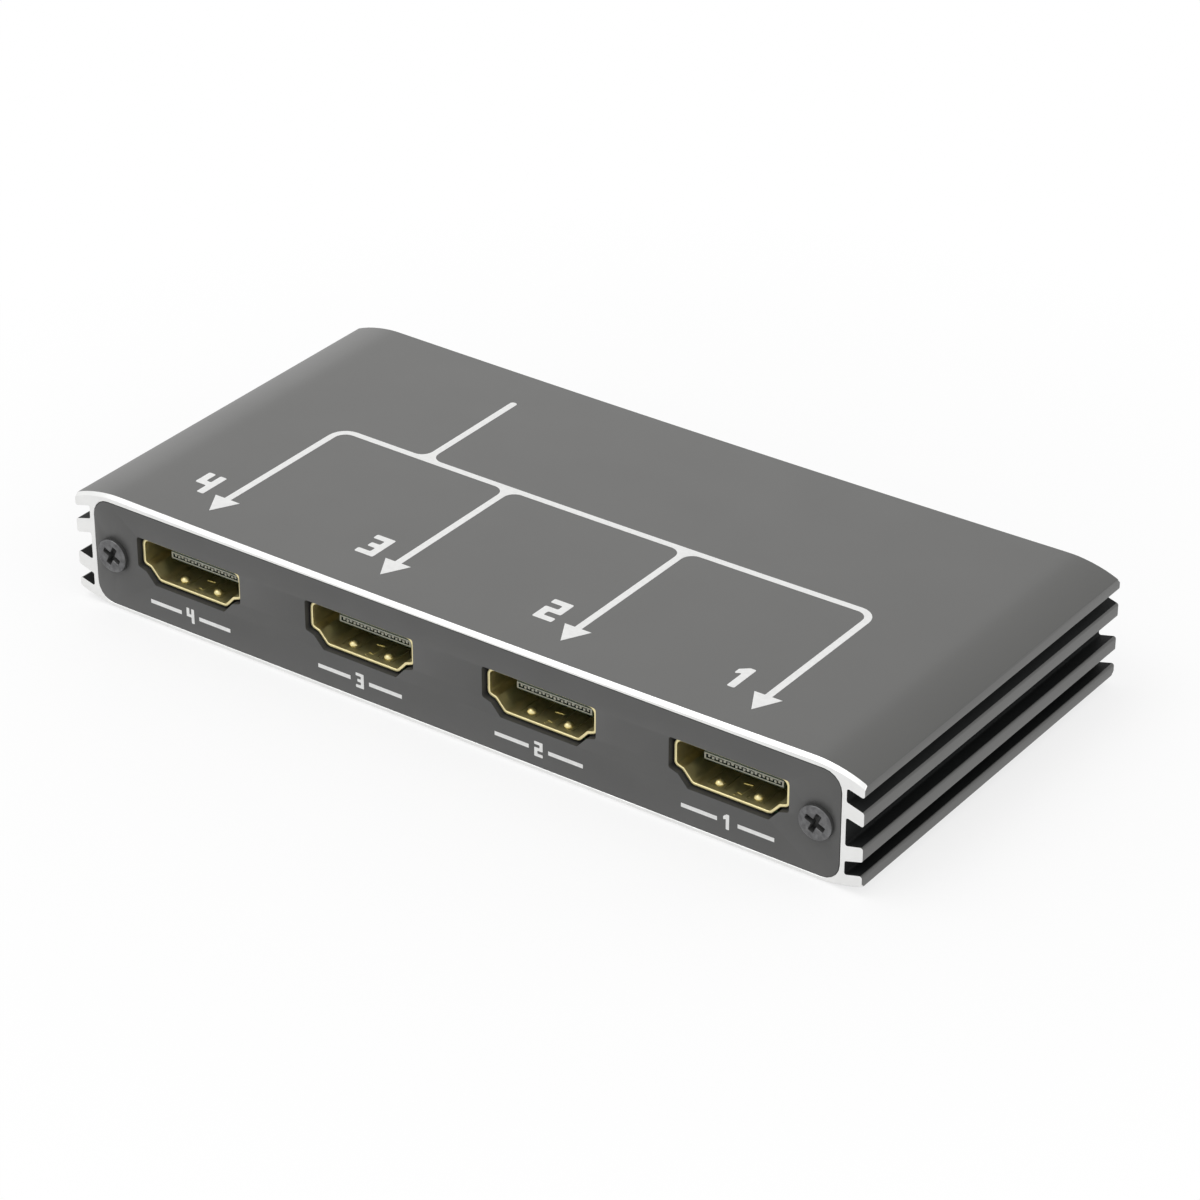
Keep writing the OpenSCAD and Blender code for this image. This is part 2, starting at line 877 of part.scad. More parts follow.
module power_light_leads() {
    tail_z = board_z - tail_l;
    color("#c9c9c6")
        for (side = [-1, 1])
            translate([light_x + side * lead_gap / 2 - pin_w / 2, lead_y, 0]) {
                translate([0, 0, light_z - pin_w / 2])
                    cube([pin_w, lead_l, pin_w]);
                translate([0, 0, tail_z])
                    cube([pin_w, pin_w, light_z + pin_w / 2 - tail_z]);
            }
}

// Chips and other parts on the board

module splitter_chip() {
    color("#2a2a2b")
        block(0, chip_y, board_top, [chip_w, chip_w, chip_h]);
}

module heat_sink_tape() {
    color("#d9d9d4")
        block(0, chip_y, board_top + chip_h, [tape_w, tape_w, tape_t]);
}

module heat_sink() {
    sink_z = board_top + chip_h + tape_t;
    fin_pitch = (sink_w - sink_fin_t) / (sink_fins - 1);
    color("#9a9b9d") {
        block(0, chip_y, sink_z, [sink_w, sink_w, sink_base]);
        for (i = [0:sink_fins - 1])
            block(
                (i - (sink_fins - 1) / 2) * fin_pitch, chip_y, sink_z,
                [sink_fin_t, sink_w, sink_h]
            );
    }
}

module line_driver_chips() {
    color("#2a2a2b")
        for (x = port_xs)
            block(x, driver_y, board_top, [driver_w, driver_w, driver_h]);
}

module memory_chip() {
    color("#2a2a2b")
        block(crystal_x, memory_y, board_top, memory_size);
}

module regulator_chips() {
    color("#2a2a2b")
        for (y = regulator_ys)
            block(regulator_x, y, board_top, regulator_size);
}

module power_inductors() {
    color("#4a4c50")
        for (x = coil_xs)
            block(x, coil_y, board_top, [coil_w, coil_w, coil_h]);
}

module electrolytic_capacitors() {
    color("#b8babd")
        for (x = can_xs) {
            block(x, can_y, board_top, [can_base_w, can_base_w, can_base_h]);
            translate([x, can_y, board_top])
                cylinder(d = can_d, h = can_h);
        }
}

module ceramic_capacitors() {
    color("#b49b72")
        for (x = port_xs)
            for (i = [0:ceramic_n - 1])
                block(x + (i - (ceramic_n - 1) / 2) * ceramic_pitch, ceramic_y, board_top, ceramic_size);
}

module crystal() {
    color("#c4c5c7")
        translate([crystal_x, crystal_y, board_top])
            linear_extrude(crystal_h)
                round_rect(crystal_l, crystal_w, crystal_r);
}

housing();
front_panel();
rear_panel();
panel_screws();
main_board();
insulating_sheet();
for (i = [1:port_n])
    for (p = PARTS)
        output_part(i, p);
for (p = PARTS)
    input_part(p);
power_jack_body();
power_jack_pin();
power_jack_spring();
switch_cover();
switch_base();
switch_terminals();
for (i = [1:lever_n])
    switch_lever(i);
power_light();
power_light_leads();
splitter_chip();
heat_sink_tape();
heat_sink();
line_driver_chips();
memory_chip();
regulator_chips();
power_inductors();
electrolytic_capacitors();
ceramic_capacitors();
crystal();
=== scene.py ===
"""Finished look of a video splitter with one input and four outputs, in metres."""

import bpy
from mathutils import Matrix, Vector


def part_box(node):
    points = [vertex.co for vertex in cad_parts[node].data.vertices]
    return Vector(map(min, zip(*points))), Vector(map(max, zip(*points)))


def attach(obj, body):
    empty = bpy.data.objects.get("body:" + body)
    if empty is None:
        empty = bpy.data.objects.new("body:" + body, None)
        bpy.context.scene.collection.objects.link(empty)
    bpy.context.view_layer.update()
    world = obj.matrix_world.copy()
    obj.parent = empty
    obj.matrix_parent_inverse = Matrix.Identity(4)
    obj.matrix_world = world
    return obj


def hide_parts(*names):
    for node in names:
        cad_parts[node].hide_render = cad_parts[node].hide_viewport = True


bl_info = {
    "name": "Video Splitter",
    "version": (1, 0, 0),
    "blender": (4, 5, 0),
    "location": "View3D > Sidebar > Splitter",
    "description": "Builds the finished pieces of a video splitter round its solids",
    "category": "Add Mesh",
}

import math

import bmesh
import bpy
from mathutils import Matrix, Vector

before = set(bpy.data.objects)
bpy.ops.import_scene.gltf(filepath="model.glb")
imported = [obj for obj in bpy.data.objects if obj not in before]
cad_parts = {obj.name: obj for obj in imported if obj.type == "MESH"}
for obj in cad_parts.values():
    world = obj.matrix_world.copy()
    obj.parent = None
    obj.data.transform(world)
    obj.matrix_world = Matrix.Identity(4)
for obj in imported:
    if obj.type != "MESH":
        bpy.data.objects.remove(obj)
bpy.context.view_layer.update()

MM = 0.001
BOX = "box"
HOUSING_LOW, HOUSING_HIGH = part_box("housing")
PANEL_LOW, PANEL_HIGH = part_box("front_panel")
MID_Z = (PANEL_LOW.z + PANEL_HIGH.z) / 2
FRONT_Y = HOUSING_LOW.y
REAR_Y = HOUSING_HIGH.y
PANEL_T = PANEL_HIGH.y - PANEL_LOW.y
OUTPUTS = ("output_1", "output_2", "output_3", "output_4")
SOCKETS = (*OUTPUTS, "input")
LEVERS = ("switch_lever_1", "switch_lever_2", "switch_lever_3", "switch_lever_4")

# Shading is broken at edges that turn more than this
SHARP_TURN = math.radians(32)
# Points closer than this are one point
MERGE = 1e-7
# Straight sides of a round shape, of a small one and of a dot
ROUND_SIDES = 48
SMALL_SIDES = 32
DOT_SIDES = 20
# Least radius that is left of a rounded corner when its outline is drawn in
LEAST_R = 0.02 * MM
# Share of a side that the rounding of one corner may take
MOST_CUT = 0.8
# Share of a normal along an axis from which a face leans to it, faces it or lies flat to it
LEANING = 0.3
FACING = 0.5
FLAT = 0.9
# Noise lies mostly between these values
NOISE_LOW = 0.3
NOISE_HIGH = 0.7


# Properties


def length(name, description, size_mm):
    """A length property with its default in millimetres."""
    return bpy.props.FloatProperty(
        name=name, description=description, default=size_mm * MM, unit="LENGTH", precision=5
    )


def colour(name, description, *rgb):
    """A colour property."""
    return bpy.props.FloatVectorProperty(
        name=name, description=description, default=rgb, subtype="COLOR", size=3, min=0, max=1
    )


def share(name, description, value):
    """A property from 0 to 1."""
    return bpy.props.FloatProperty(
        name=name, description=description, default=value, subtype="FACTOR", min=0, max=1
    )


def power(name, description, watts):
    """The power of a lamp."""
    return bpy.props.FloatProperty(
        name=name, description=description, default=watts, subtype="POWER"
    )


def angle(name, description, degrees):
    """An angle property with its default in degrees."""
    return bpy.props.FloatProperty(
        name=name, description=description, default=math.radians(degrees), subtype="ANGLE"
    )


class HousingSizes(bpy.types.PropertyGroup):
    """Sizes of the finned housing."""

    slope_w: length("Slope width", "Width of each sloping shoulder", 3.4)
    shoulder_r: length("Shoulder radius", "Radius of the bend at each shoulder", 14)
    top_dip: length("Top dip", "Dip of the top in the middle of its width", 0.3)
    dip_margin: length("Dip margin", "Flat strip between the dip and each slope", 3.7)
    end_chamfer: length("End chamfer", "Chamfer on the long edges of the milled ends", 0.4)
    fin_l: length("Fin length", "Length of the cooling fins", 2.2)
    tip_rise: length("Tip rise", "Height of the outer fin tips from the middle plane", 6.35)
    centre_gap: length("Centre gap", "Gap at the root between the two middle fins", 3.55)
    outer_gap: length("Outer gap", "Gap at the root between a middle fin and an outer fin", 1.7)
    fin_root: length("Fin root", "Thickness of a middle fin at its root", 1.9)
    fin_tip: length("Fin tip", "Thickness of a middle fin at its tip", 1.8)
    fin_lean: length("Fin lean", "Lean of the middle fins towards the middle plane", 0.6)
    outer_lean: length("Outer lean", "Lean of the inner faces of the outer fins", 0.6)
    tip_r: length("Tip rounding", "Rounding at the tips of the fins", 0.3)
    root_r: length("Root rounding", "Rounding at the roots of the fins", 0.25)
    ledge: length("Ledge", "Ledge that a panel rests against", 0.9)


class PanelSizes(bpy.types.PropertyGroup):
    """Sizes of the end panels and their screws."""

    gap: length("Gap", "Gap round a panel in its pocket", 0.05)
    corner_r: length("Corner radius", "Corner radius of a panel", 2.25)
    edge: length("Edge", "Broken edge round a panel and its cut-outs", 0.08)
    hole_d: length("Hole", "Diameter of a screw hole", 2.6)
    head_round: length("Head rounding", "Rounding of a screw head's rim", 0.16)
    shank_d: length("Shank", "Diameter of a screw's shank", 2.3)
    recess_l: length("Recess length", "Length of a cross recess", 2.55)
    recess_w: length("Recess width", "Width of a cross recess's arms", 0.68)
    recess_depth: length("Recess depth", "Depth of a cross recess", 0.85)


class SocketSizes(bpy.types.PropertyGroup):
    """Sizes of the video sockets."""

    width: length("Width", "Width of the opening", 14.1)
    height: length("Height", "Height of the opening", 4.55)
    side: length("Side", "Height of the upright part of the opening's sides", 2.9)
    floor: length("Floor", "Width of the opening's floor", 9.8)
    step_w: length("Step width", "Width of the step at the foot of each side", 0.95)
    step_h: length("Step height", "Height of the step at the foot of each side", 0.3)
    wall: length("Wall", "Wall of the shell", 0.38)
    fit: length("Fit", "Gap beside and under a shell in its cut-out", 0.25)
    over: length("Over", "Gap over a shell in its cut-out", 0.1)
    cutout_r: length("Cut-out radius", "Corner radius of a cut-out", 0.3)
    rim_r: length("Rim rounding", "Rounding of the edges of the shell's rim", 0.1)
    seam_w: length("Seam width", "Width of the lock seam in the shell's floor", 0.12)
    seam_h: length("Seam height", "Height of the lock seam", 0.04)
    tongue_set: length("Tongue set", "Distance of the tongue behind the rim", 2.4)
    tongue_w: length("Tongue width", "Width of the tongue", 10.3)
    tongue_t: length("Tongue thickness", "Thickness of the tongue", 1.3)
    nose_l: length("Nose length", "Length of the tongue's nose", 0.2)
    nose_t: length("Nose thickness", "Thickness of the tongue's nose", 0.78)
    groove_t: length("Groove height", "Height of the groove for the contact tips", 0.5)
    groove_d: length("Groove depth", "Depth of the groove for the contact tips", 0.45)
    tip_w: length("Contact tip", "Width of a contact's tip", 0.3)
    tongue_drop: length("Tongue drop", "Drop of the tongue below the middle", 0.1)
    insulator_l: length("Insulator", "Length of the insulator behind the tongue", 3)
    pitch: length("Contact pitch", "Pitch of the contacts in one row", 1)
    channel_w: length("Channel width", "Width of a contact's channel", 0.4)
    channel_d: length("Channel depth", "Depth of a contact's channel", 0.17)
    finger_x: length("Finger place", "Place of the spring fingers from the middle", 2.5)
    finger_w: length("Finger width", "Width of a spring finger", 2)
    finger_l: length("Finger length", "Length of a spring finger", 5)
    finger_set: length("Finger set", "Distance of a finger's free end behind the rim", 0.9)
    slit: length("Slit", "Width of the slits round a finger", 0.08)
    dimple_set: length("Dimple set", "Distance of a finger's dimple behind the rim", 1.7)
    dimple_r: length("Dimple radius", "Radius of a finger's dimple", 0.62)
    dimple_h: length("Dimple height", "Height of a finger's dimple", 0.45)


class FittingSizes(bpy.types.PropertyGroup):
    """Sizes of the rear fittings."""

    window_gap: length("Window gap", "Gap round the setting switch in its window", 0.25)
    light_gap: length("Light gap", "Gap round the power light in its hole", 0.15)
    jack_gap: length("Jack gap", "Gap round the power jack in its hole", 0.25)
    jack_nose: length("Jack nose", "Diameter of the power jack's nose", 6.4)
    jack_bore: length("Jack bore", "Diameter of the power jack's bore", 3.9)
    jack_depth: length("Jack depth", "Depth of the power jack's bore", 8)
    jack_pin: length("Jack pin", "Diameter of the power jack's pin", 1.3)
    jack_root: length("Pin root", "Diameter of the pin's root behind the bore", 0.8)
    knob: length("Knob", "Width and height of a lever's knob", 1.3)
    knob_play: length("Knob play", "Gap beside a knob in its window", 0.15)
    travel: length("Travel", "Travel of a lever", 1.6)
    flange: length("Flange", "Overlap of a lever's flange behind the cover", 0.4)
    flange_t: length("Flange thickness", "Thickness of a lever's flange", 0.8)
    flange_room: length("Flange room", "Depth of the room for a flange", 1.2)
    light_d: length("Light", "Diameter of the power light", 3)


class PrintSizes(bpy.types.PropertyGroup):
    """Sizes of the white print."""

    ink: length("Ink", "Thickness of the ink", 0.02)
    numeral: length("Numeral", "Height of a panel numeral", 1.9)
    label_z: length("Label height", "Height of the labels above the base", 3.05)
    label_w: length("Label width", "Width of a label with its bars", 12)
    bar: length("Bar", "Thickness of the bars beside a numeral", 0.5)
    map_line: length("Map line", "Thickness of the lines of the socket map", 0.9)
    map_numeral: length("Map numeral", "Height of the numerals of the socket map", 4.4)
    arrow: length("Arrow", "Width of an arrow of the socket map", 3.6)


class FinishColours(bpy.types.PropertyGroup):
    """Colours of the finishes."""

    anodised: colour("Anodised", "Black anodised housing", 0.057, 0.057, 0.053)
    bare: colour("Bare", "Bare milled aluminium", 0.84, 0.84, 0.83)
    # Painted shade: a near-black colour for the anodised faces deep between the fins
    gap: colour("Fin gap", "Matt black between the fins", 0.012, 0.013, 0.013)
    panel: colour("Panel", "Black painted panels", 0.084, 0.084, 0.082)
    # Painted shade: darker than the panel paint, on the panels' edge and cut-out walls and on the
    # screws' sides and recesses
    cut: colour("Cut edge", "Cut edges of the panels", 0.035, 0.035, 0.034)
    screw: colour("Screw", "Black oxide screws", 0.13, 0.13, 0.132)
    gold: colour("Gold", "Gold plating", 0.82, 0.73, 0.41)
    # Socket plastic in two copies: this green-black one is painted shade
    insulator: colour("Insulator", "Socket plastic", 0.035, 0.062, 0.046)
    # Painted light: a pale lit copy of the socket plastic, on the tongue's front face and the
    # contact tips
    nose: colour("Tongue nose", "Pale nose of a tongue", 0.4, 0.41, 0.37)
    contact: colour("Contact", "Plated contacts", 0.86, 0.78, 0.56)
    ink: colour("Ink", "White print", 0.83, 0.83, 0.82)
    switch: colour("Switch", "Red switch cover", 0.42, 0.02, 0.025)
    lever: colour("Lever", "White switch levers", 0.8, 0.79, 0.75)
    black: colour("Black plastic", "Moulded black plastic", 0.022, 0.022, 0.023)
    lens: colour("Lens", "Milky lens of the power light", 0.62, 0.68, 0.78)
    tin: colour("Tin", "Tinned pins and leads", 0.72, 0.72, 0.7)
    board: colour("Board", "Solder mask of the board", 0.012, 0.075, 0.028)
    epoxy: colour("Epoxy", "Chip packages", 0.02, 0.02, 0.021)
    sink: colour("Heat sink", "Heat sink metal", 0.4, 0.41, 0.43)
    sheet: colour("Sheet", "Insulating sheet", 0.07, 0.07, 0.06)
    tape: colour("Tape", "Heat conducting tape", 0.7, 0.7, 0.66)
    ferrite: colour("Ferrite", "Ferrite of the inductors", 0.07, 0.072, 0.078)
    can: colour("Can", "Aluminium of the capacitors and the crystal", 0.66, 0.67, 0.69)
    ceramic: colour("Ceramic", "Ceramic capacitors", 0.44, 0.33, 0.18)


class StageSettings(bpy.types.PropertyGroup):
    """Camera, light and floor."""

    camera_place: bpy.props.FloatVectorProperty(
        name="Camera place", description="Place of the camera", subtype="TRANSLATION",
        unit="LENGTH", size=3, precision=4, default=(0.2415, -0.3352, 0.2447),
    )
    azimuth: angle("Azimuth", "Turn of the camera round the object", 35.58)
    elevation: angle("Elevation", "Angle of the camera above the floor", 30.1)
    lens: bpy.props.FloatProperty(
        name="Lens", description="Focal length on a 36 mm sensor", subtype="DISTANCE_CAMERA",
        default=124.0,
    )
    sky: share("Sky", "Light of the white room", 0.62)
    key_power: power("Key power", "Power of the key light", 3.2)
    fill_power: power("Fill power", "Power of the fill light", 0.9)
    rim_power: power("Rim power", "Power of the light behind", 0.5)
    floor: colour("Floor", "White floor", 0.98, 0.98, 0.98)
    floor_near: share("Floor near", "Share of plain white in the floor under the object", 0.75)
    fade: length("Fade", "Distance at which the floor is plain white", 120)


# Settings on the scene, which the functions below take as h, p, s, f, d, c and t in this order
GROUPS = {
    "splitter_housing": HousingSizes,
    "splitter_panels": PanelSizes,
    "splitter_sockets": SocketSizes,
    "splitter_fittings": FittingSizes,
    "splitter_prints": PrintSizes,
    "splitter_colours": FinishColours,
    "splitter_stage": StageSettings,
}


# Finishes


class Finish:
    """One material: a Principled shader with patterns on Object coordinates."""

    def __init__(self, name, rgb, roughness, metallic=0.0, **sockets):
        self.material = bpy.data.materials.new(name)
        self.material.use_nodes = True
        self.nodes = self.material.node_tree.nodes
        self.links = self.material.node_tree.links
        self.shader = self.nodes["Principled BSDF"]
        self.rgb = Vector(rgb)
        self.set("Base Color", (*rgb, 1))
        self.set("Roughness", roughness)
        self.set("Metallic", metallic)
        for socket, value in sockets.items():
            self.set(socket.replace("_", " "), value)
        self.object_place = self.nodes.new("ShaderNodeTexCoord").outputs["Object"]

    def set(self, socket, value):
        """Puts a constant on one of the shader's sockets."""
        self.shader.inputs[socket].default_value = value

    def stretched(self, scale):
        """Object coordinates stretched by a factor on each axis."""
        mapping = self.nodes.new("ShaderNodeMapping")
        mapping.inputs["Scale"].default_value = scale
        self.links.new(self.object_place, mapping.inputs["Vector"])
        return mapping.outputs["Vector"]

    def noise(self, grain, detail=3.0, place=None):
        """Noise whose grains are about this size in metres."""
        node = self.nodes.new("ShaderNodeTexNoise")
        node.inputs["Scale"].default_value = 1 / grain
        node.inputs["Detail"].default_value = detail
        self.links.new(place or self.object_place, node.inputs["Vector"])
        return node.outputs["Fac"]

    def ramp(self, factor, stops):
        """Colours along a factor, as (position, colour) stops."""
        node = self.nodes.new("ShaderNodeValToRGB")
        elements = node.color_ramp.elements
        for index, (position, rgb) in enumerate(stops):
            element = elements[index] if index < 2 else elements.new(position)
            element.position = position
            element.color = (*rgb, 1)
        self.links.new(factor, node.inputs["Fac"])
        return node.outputs["Color"]

    def spread_over(self, factor, low, high):
        """A value from low to high along a noise."""
        node = self.nodes.new("ShaderNodeMapRange")
        node.inputs["From Min"].default_value = NOISE_LOW
        node.inputs["From Max"].default_value = NOISE_HIGH
        node.inputs["To Min"].default_value = low
        node.inputs["To Max"].default_value = high
        self.links.new(factor, node.inputs["Value"])
        return node.outputs["Result"]

    def vary_colour(self, factor, spread):
        """The base colour, darker and lighter by a share along a factor."""
        dark, light = self.rgb * (1 - spread), self.rgb * (1 + spread)
        stops = [(NOISE_LOW, dark), (NOISE_HIGH, [min(c, 1) for c in light])]
        self.links.new(self.ramp(factor, stops), self.shader.inputs["Base Color"])

    def vary_roughness(self, factor, low, high):
        """A roughness from low to high along a noise."""
        self.links.new(self.spread_over(factor, low, high), self.shader.inputs["Roughness"])

    def bump(self, factor, depth, strength=1.0):
        """Relief of a depth in metres."""
        node = self.nodes.new("ShaderNodeBump")
        node.inputs["Strength"].default_value = strength
        node.inputs["Distance"].default_value = depth
        self.links.new(factor, node.inputs["Height"])
        self.links.new(node.outputs["Normal"], self.shader.inputs["Normal"])


def anodised_metal(rgb):
    """Satin black anodising with a fine grain and a slow drift of its sheen."""
    finish = Finish("anodised_black", rgb, 0.36, Specular_IOR_Level=0.85)
    finish.vary_colour(finish.noise(14 * MM, 4), 0.03)
    finish.vary_roughness(finish.noise(9 * MM, 5), 0.35, 0.38)
    finish.bump(finish.noise(0.12 * MM, 2), 0.0012 * MM)
    return finish.material


def milled_metal(rgb):
    """Bare aluminium with fine cutter marks along the cut."""
    finish = Finish("bare_aluminium", rgb, 0.3, 0.7)
    marks = finish.noise(0.25 * MM, 4, finish.stretched((0.12, 1, 1)))
    finish.vary_colour(finish.noise(2.5 * MM, 4), 0.03)
    finish.vary_roughness(marks, 0.3, 0.36)
    finish.bump(marks, 0.0002 * MM)
    return finish.material


def painted_panel(rgb):
    """Black satin paint with a fine orange peel."""
    finish = Finish("panel_paint", rgb, 0.42)
    finish.vary_colour(finish.noise(6 * MM, 4), 0.05)
    finish.vary_roughness(finish.noise(1.5 * MM, 3), 0.38, 0.46)
    finish.bump(finish.noise(0.2 * MM, 2), 0.002 * MM)
    return finish.material


def oxide_metal(rgb):
    """Black oxide on steel with a little wear."""
    finish = Finish("black_oxide", rgb, 0.34, 0.6)
    finish.vary_colour(finish.noise(0.5 * MM, 5), 0.3)
    finish.vary_roughness(finish.noise(0.3 * MM, 4), 0.28, 0.44)
    finish.bump(finish.noise(0.08 * MM, 3), 0.003 * MM)
    return finish.material


def gold_plate(rgb):
    """Gold plating over drawn brass."""
    finish = Finish("gold_plate", rgb, 0.38, 1.0)
    drawn = finish.noise(0.3 * MM, 4, finish.stretched((1, 0.15, 1)))
    finish.vary_colour(finish.noise(1.2 * MM, 4), 0.06)
    finish.vary_roughness(drawn, 0.33, 0.44)
    finish.bump(drawn, 0.0006 * MM)
    return finish.material


def moulded_plastic(name, rgb, roughness, **sockets):
    """Moulded plastic with a fine spark texture."""
    finish = Finish(name, rgb, roughness, **sockets)
    finish.vary_colour(finish.noise(1.5 * MM, 3), 0.08)
    drift = 0.06
    finish.vary_roughness(finish.noise(0.4 * MM, 3), roughness - drift, roughness + drift)
    finish.bump(finish.noise(0.1 * MM, 2), 0.002 * MM)
    return finish.material


def screen_ink(rgb):
    """White screen print, a little uneven."""
    finish = Finish("white_ink", rgb, 0.5)
    finish.vary_colour(finish.noise(0.6 * MM, 4), 0.04)
    finish.vary_roughness(finish.noise(0.2 * MM, 3), 0.42, 0.58)
    return finish.material


def plain_metal(name, rgb, roughness):
    """Plated or drawn metal of the small parts."""
    finish = Finish(name, rgb, roughness, 1.0)
    finish.vary_colour(finish.noise(0.8 * MM, 4), 0.08)
    finish.vary_roughness(finish.noise(0.3 * MM, 4), roughness - 0.07, roughness + 0.09)
    finish.bump(finish.noise(0.12 * MM, 3), 0.002 * MM)
    return finish.material


def solder_mask(rgb):
    """Glossy solder mask with copper runs that show as lighter bands."""
    finish = Finish("solder_mask", rgb, 0.3)
    run_space, lighter = 3 * MM, 1.9
    cells = finish.nodes.new("ShaderNodeTexVoronoi")
    cells.distance = "MANHATTAN"
    cells.feature = "DISTANCE_TO_EDGE"
    cells.inputs["Scale"].default_value = 1 / run_space
    finish.links.new(finish.object_place, cells.inputs["Vector"])
    runs = cells.outputs["Distance"]
    light = [min(c * lighter, 1) for c in rgb]
    stops = [(0.04, light), (0.07, rgb)]
    finish.links.new(finish.ramp(runs, stops), finish.shader.inputs["Base Color"])
    finish.vary_roughness(finish.noise(2 * MM, 3), 0.24, 0.36)
    finish.bump(runs, 0.01 * MM, 0.4)
    return finish.material


def make_finishes(c):
    """All finishes by name, from the colours."""
    made = {
        "anodised": anodised_metal(c.anodised),
        "bare": milled_metal(c.bare),
        # Painted shade between the fins: near black with a weak sheen
        "gap": moulded_plastic("fin_gap_painted_shade", c.gap, 0.7, Specular_IOR_Level=0.15),
        "panel": painted_panel(c.panel),
        "screw": oxide_metal(c.screw),
        "gold": gold_plate(c.gold),
        "ink": screen_ink(c.ink),
        "board": solder_mask(c.board),
        "lens": moulded_plastic("light_lens", c.lens, 0.2, Transmission_Weight=0.35, IOR=1.5),
        "tin": plain_metal("tin_plate", c.tin, 0.28),
        "contact": plain_metal("contact_plate", c.contact, 0.3),
        "sink": plain_metal("sink_metal", c.sink, 0.38),
        "can": plain_metal("can_metal", c.can, 0.25),
    }
    plastics = {
        # Painted shade on the edge walls of the panels and on the screws' sides and recesses
        "cut": 0.6,
        # Painted shade and painted light: shaded and lit copies of the socket plastic
        "insulator": 0.4,
        "nose": 0.45,
        "switch": 0.35,
        "lever": 0.38,
        "black": 0.42,
        "epoxy": 0.5,
        "sheet": 0.3,
        "tape": 0.7,
        "ferrite": 0.62,
        "ceramic": 0.4,
    }
    for key, roughness in plastics.items():
        made[key] = moulded_plastic(key + "_finish", getattr(c, key), roughness)
    return made


FINISHES = {}


def finish_of(key):
    """A finish by name. All are made the first time."""
    if not FINISHES:
        FINISHES.update(make_finishes(bpy.context.scene.splitter_colours))
    return FINISHES[key]


# Outlines, as corners (x, z, radius) in counter-clockwise order


def box_corners(low, high, r):
    """Corners of a rectangle between two (x, z) points."""
    return [(low[0], low[1], r), (high[0], low[1], r), (high[0], high[1], r), (low[0], high[1], r)]


def node_corners(node, r):
    """Corners of the rectangle that a solid fills, seen along Y."""
    low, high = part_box(node)
    return box_corners((low.x, low.z), (high.x, high.z), r)


def moved(corners, x, z):
    """The same corners at another place."""
    return [(cx + x, cz + z, r) for cx, cz, r in corners]


def mirrored(corners):
    """The corners on the other side of the middle, in the same turning sense."""
    return [(-x, z, r) for x, z, r in reversed(corners)]


def neighbours(corners):
    """Each corner between the one before it and the one after it."""
    return zip(corners[-1:] + corners[:-1], corners, corners[1:] + corners[:1])


def side_normal(a, b):
    """Outward normal of the side from a to b."""
    return Vector((b[1] - a[1], a[0] - b[0])).normalized()


def grown(corners, g):
    """The same corners with every side moved outwards by g."""
    made = []
    for a, b, c in neighbours(corners):
        before, after = side_normal(a, b), side_normal(b, c)
        place = Vector(b[:2]) + (before + after) * g / (1 + before.dot(after))
        convex = before.x * after.y - before.y * after.x > 0
        r = b[2] + (g if convex else -g)
        made.append((place.x, place.y, max(r, LEAST_R) if b[2] else 0))
    return made


def corner_cut(a, b, c):
    """Length that the rounding of corner b takes from its two sides."""
    u, v = Vector(a[:2]) - Vector(b[:2]), Vector(c[:2]) - Vector(b[:2])
    half = u.angle(v) / 2
    return min(b[2] / math.tan(half), MOST_CUT * min(u.length, v.length))


def rounded(corners, steps=5):
    """Points (x, z) of the outline with its corners rounded."""
    bm = bmesh.new()
    verts = [bm.verts.new((x, z, 0)) for x, z, _ in corners]
    bm.faces.new(verts)
    cuts = [corner_cut(*three) if three[1][2] else 0 for three in neighbours(corners)]
    for vert, cut in zip(verts, cuts):
        if cut:
            bmesh.ops.bevel(
                bm, geom=[vert], offset=cut, offset_type="OFFSET", affect="VERTICES",
                segments=steps, profile=0.5, material=-1,
            )
    bm.faces.ensure_lookup_table()
    points = [vert.co.xy.copy() for vert in bm.faces[0].verts]
    bm.free()
    return points


def circle(x, z, r, sides=ROUND_SIDES):
    """Points (x, z) of a circle."""
    bm = bmesh.new()
    bmesh.ops.create_circle(
        bm, segments=sides, radius=r, matrix=Matrix.Translation((x, z, 0))
    )
    points = [vert.co.xy.copy() for vert in bm.verts]
    bm.free()
    return points


# Meshes


def ring(bm, points, y):
    """A closed ring of edges through (x, z) points in the plane at y."""
    verts = [bm.verts.new((x, y, z)) for x, z in points]
    return [bm.edges.new(pair) for pair in zip(verts, verts[1:] + verts[:1])]


def join(bm, first, second):
    """A wall between two rings."""
    bmesh.ops.bridge_loops(bm, edges=first + second)


def verts_in(items):
    """The vertices among the items that an operator made."""
    return [item for item in items if isinstance(item, bmesh.types.BMVert)]


def drawn_out(bm, edges, points, y):
    """A ring drawn out of another one, to (x, z) points in the plane at y."""
    pairs = zip(edges[-1:] + edges[:-1], edges)
    starts = [(set(before.verts) & set(after.verts)).pop() for before, after in pairs]
    fresh = set(verts_in(bmesh.ops.extrude_edge_only(bm, edges=edges)["geom"]))
    verts = []
    for start in starts:
        ends = [edge.other_vert(start) for edge in start.link_edges]
        verts += fresh.intersection(ends)
    for vert, (x, z) in zip(verts, points, strict=True):
        vert.co = (x, y, z)
    return [bm.edges.get(pair) for pair in zip(verts, verts[1:] + verts[:1])]


def loft(bm, *sections):
    """Walls through (points, y) sections. Returns the first and the last ring."""
    first = last = ring(bm, *sections[0])
    for section in sections[1:]:
        last = drawn_out(bm, last, *section)
    return first, last


def fill(bm, *rings):
    """Flat faces inside the first ring and outside the others."""
    edges = [edge for each in rings for edge in each]
    bmesh.ops.triangle_fill(bm, edges=edges, use_beauty=True)


def open_edges(bm):
    """Edges round the openings of a mesh."""
    return [edge for edge in bm.edges if edge.is_boundary]


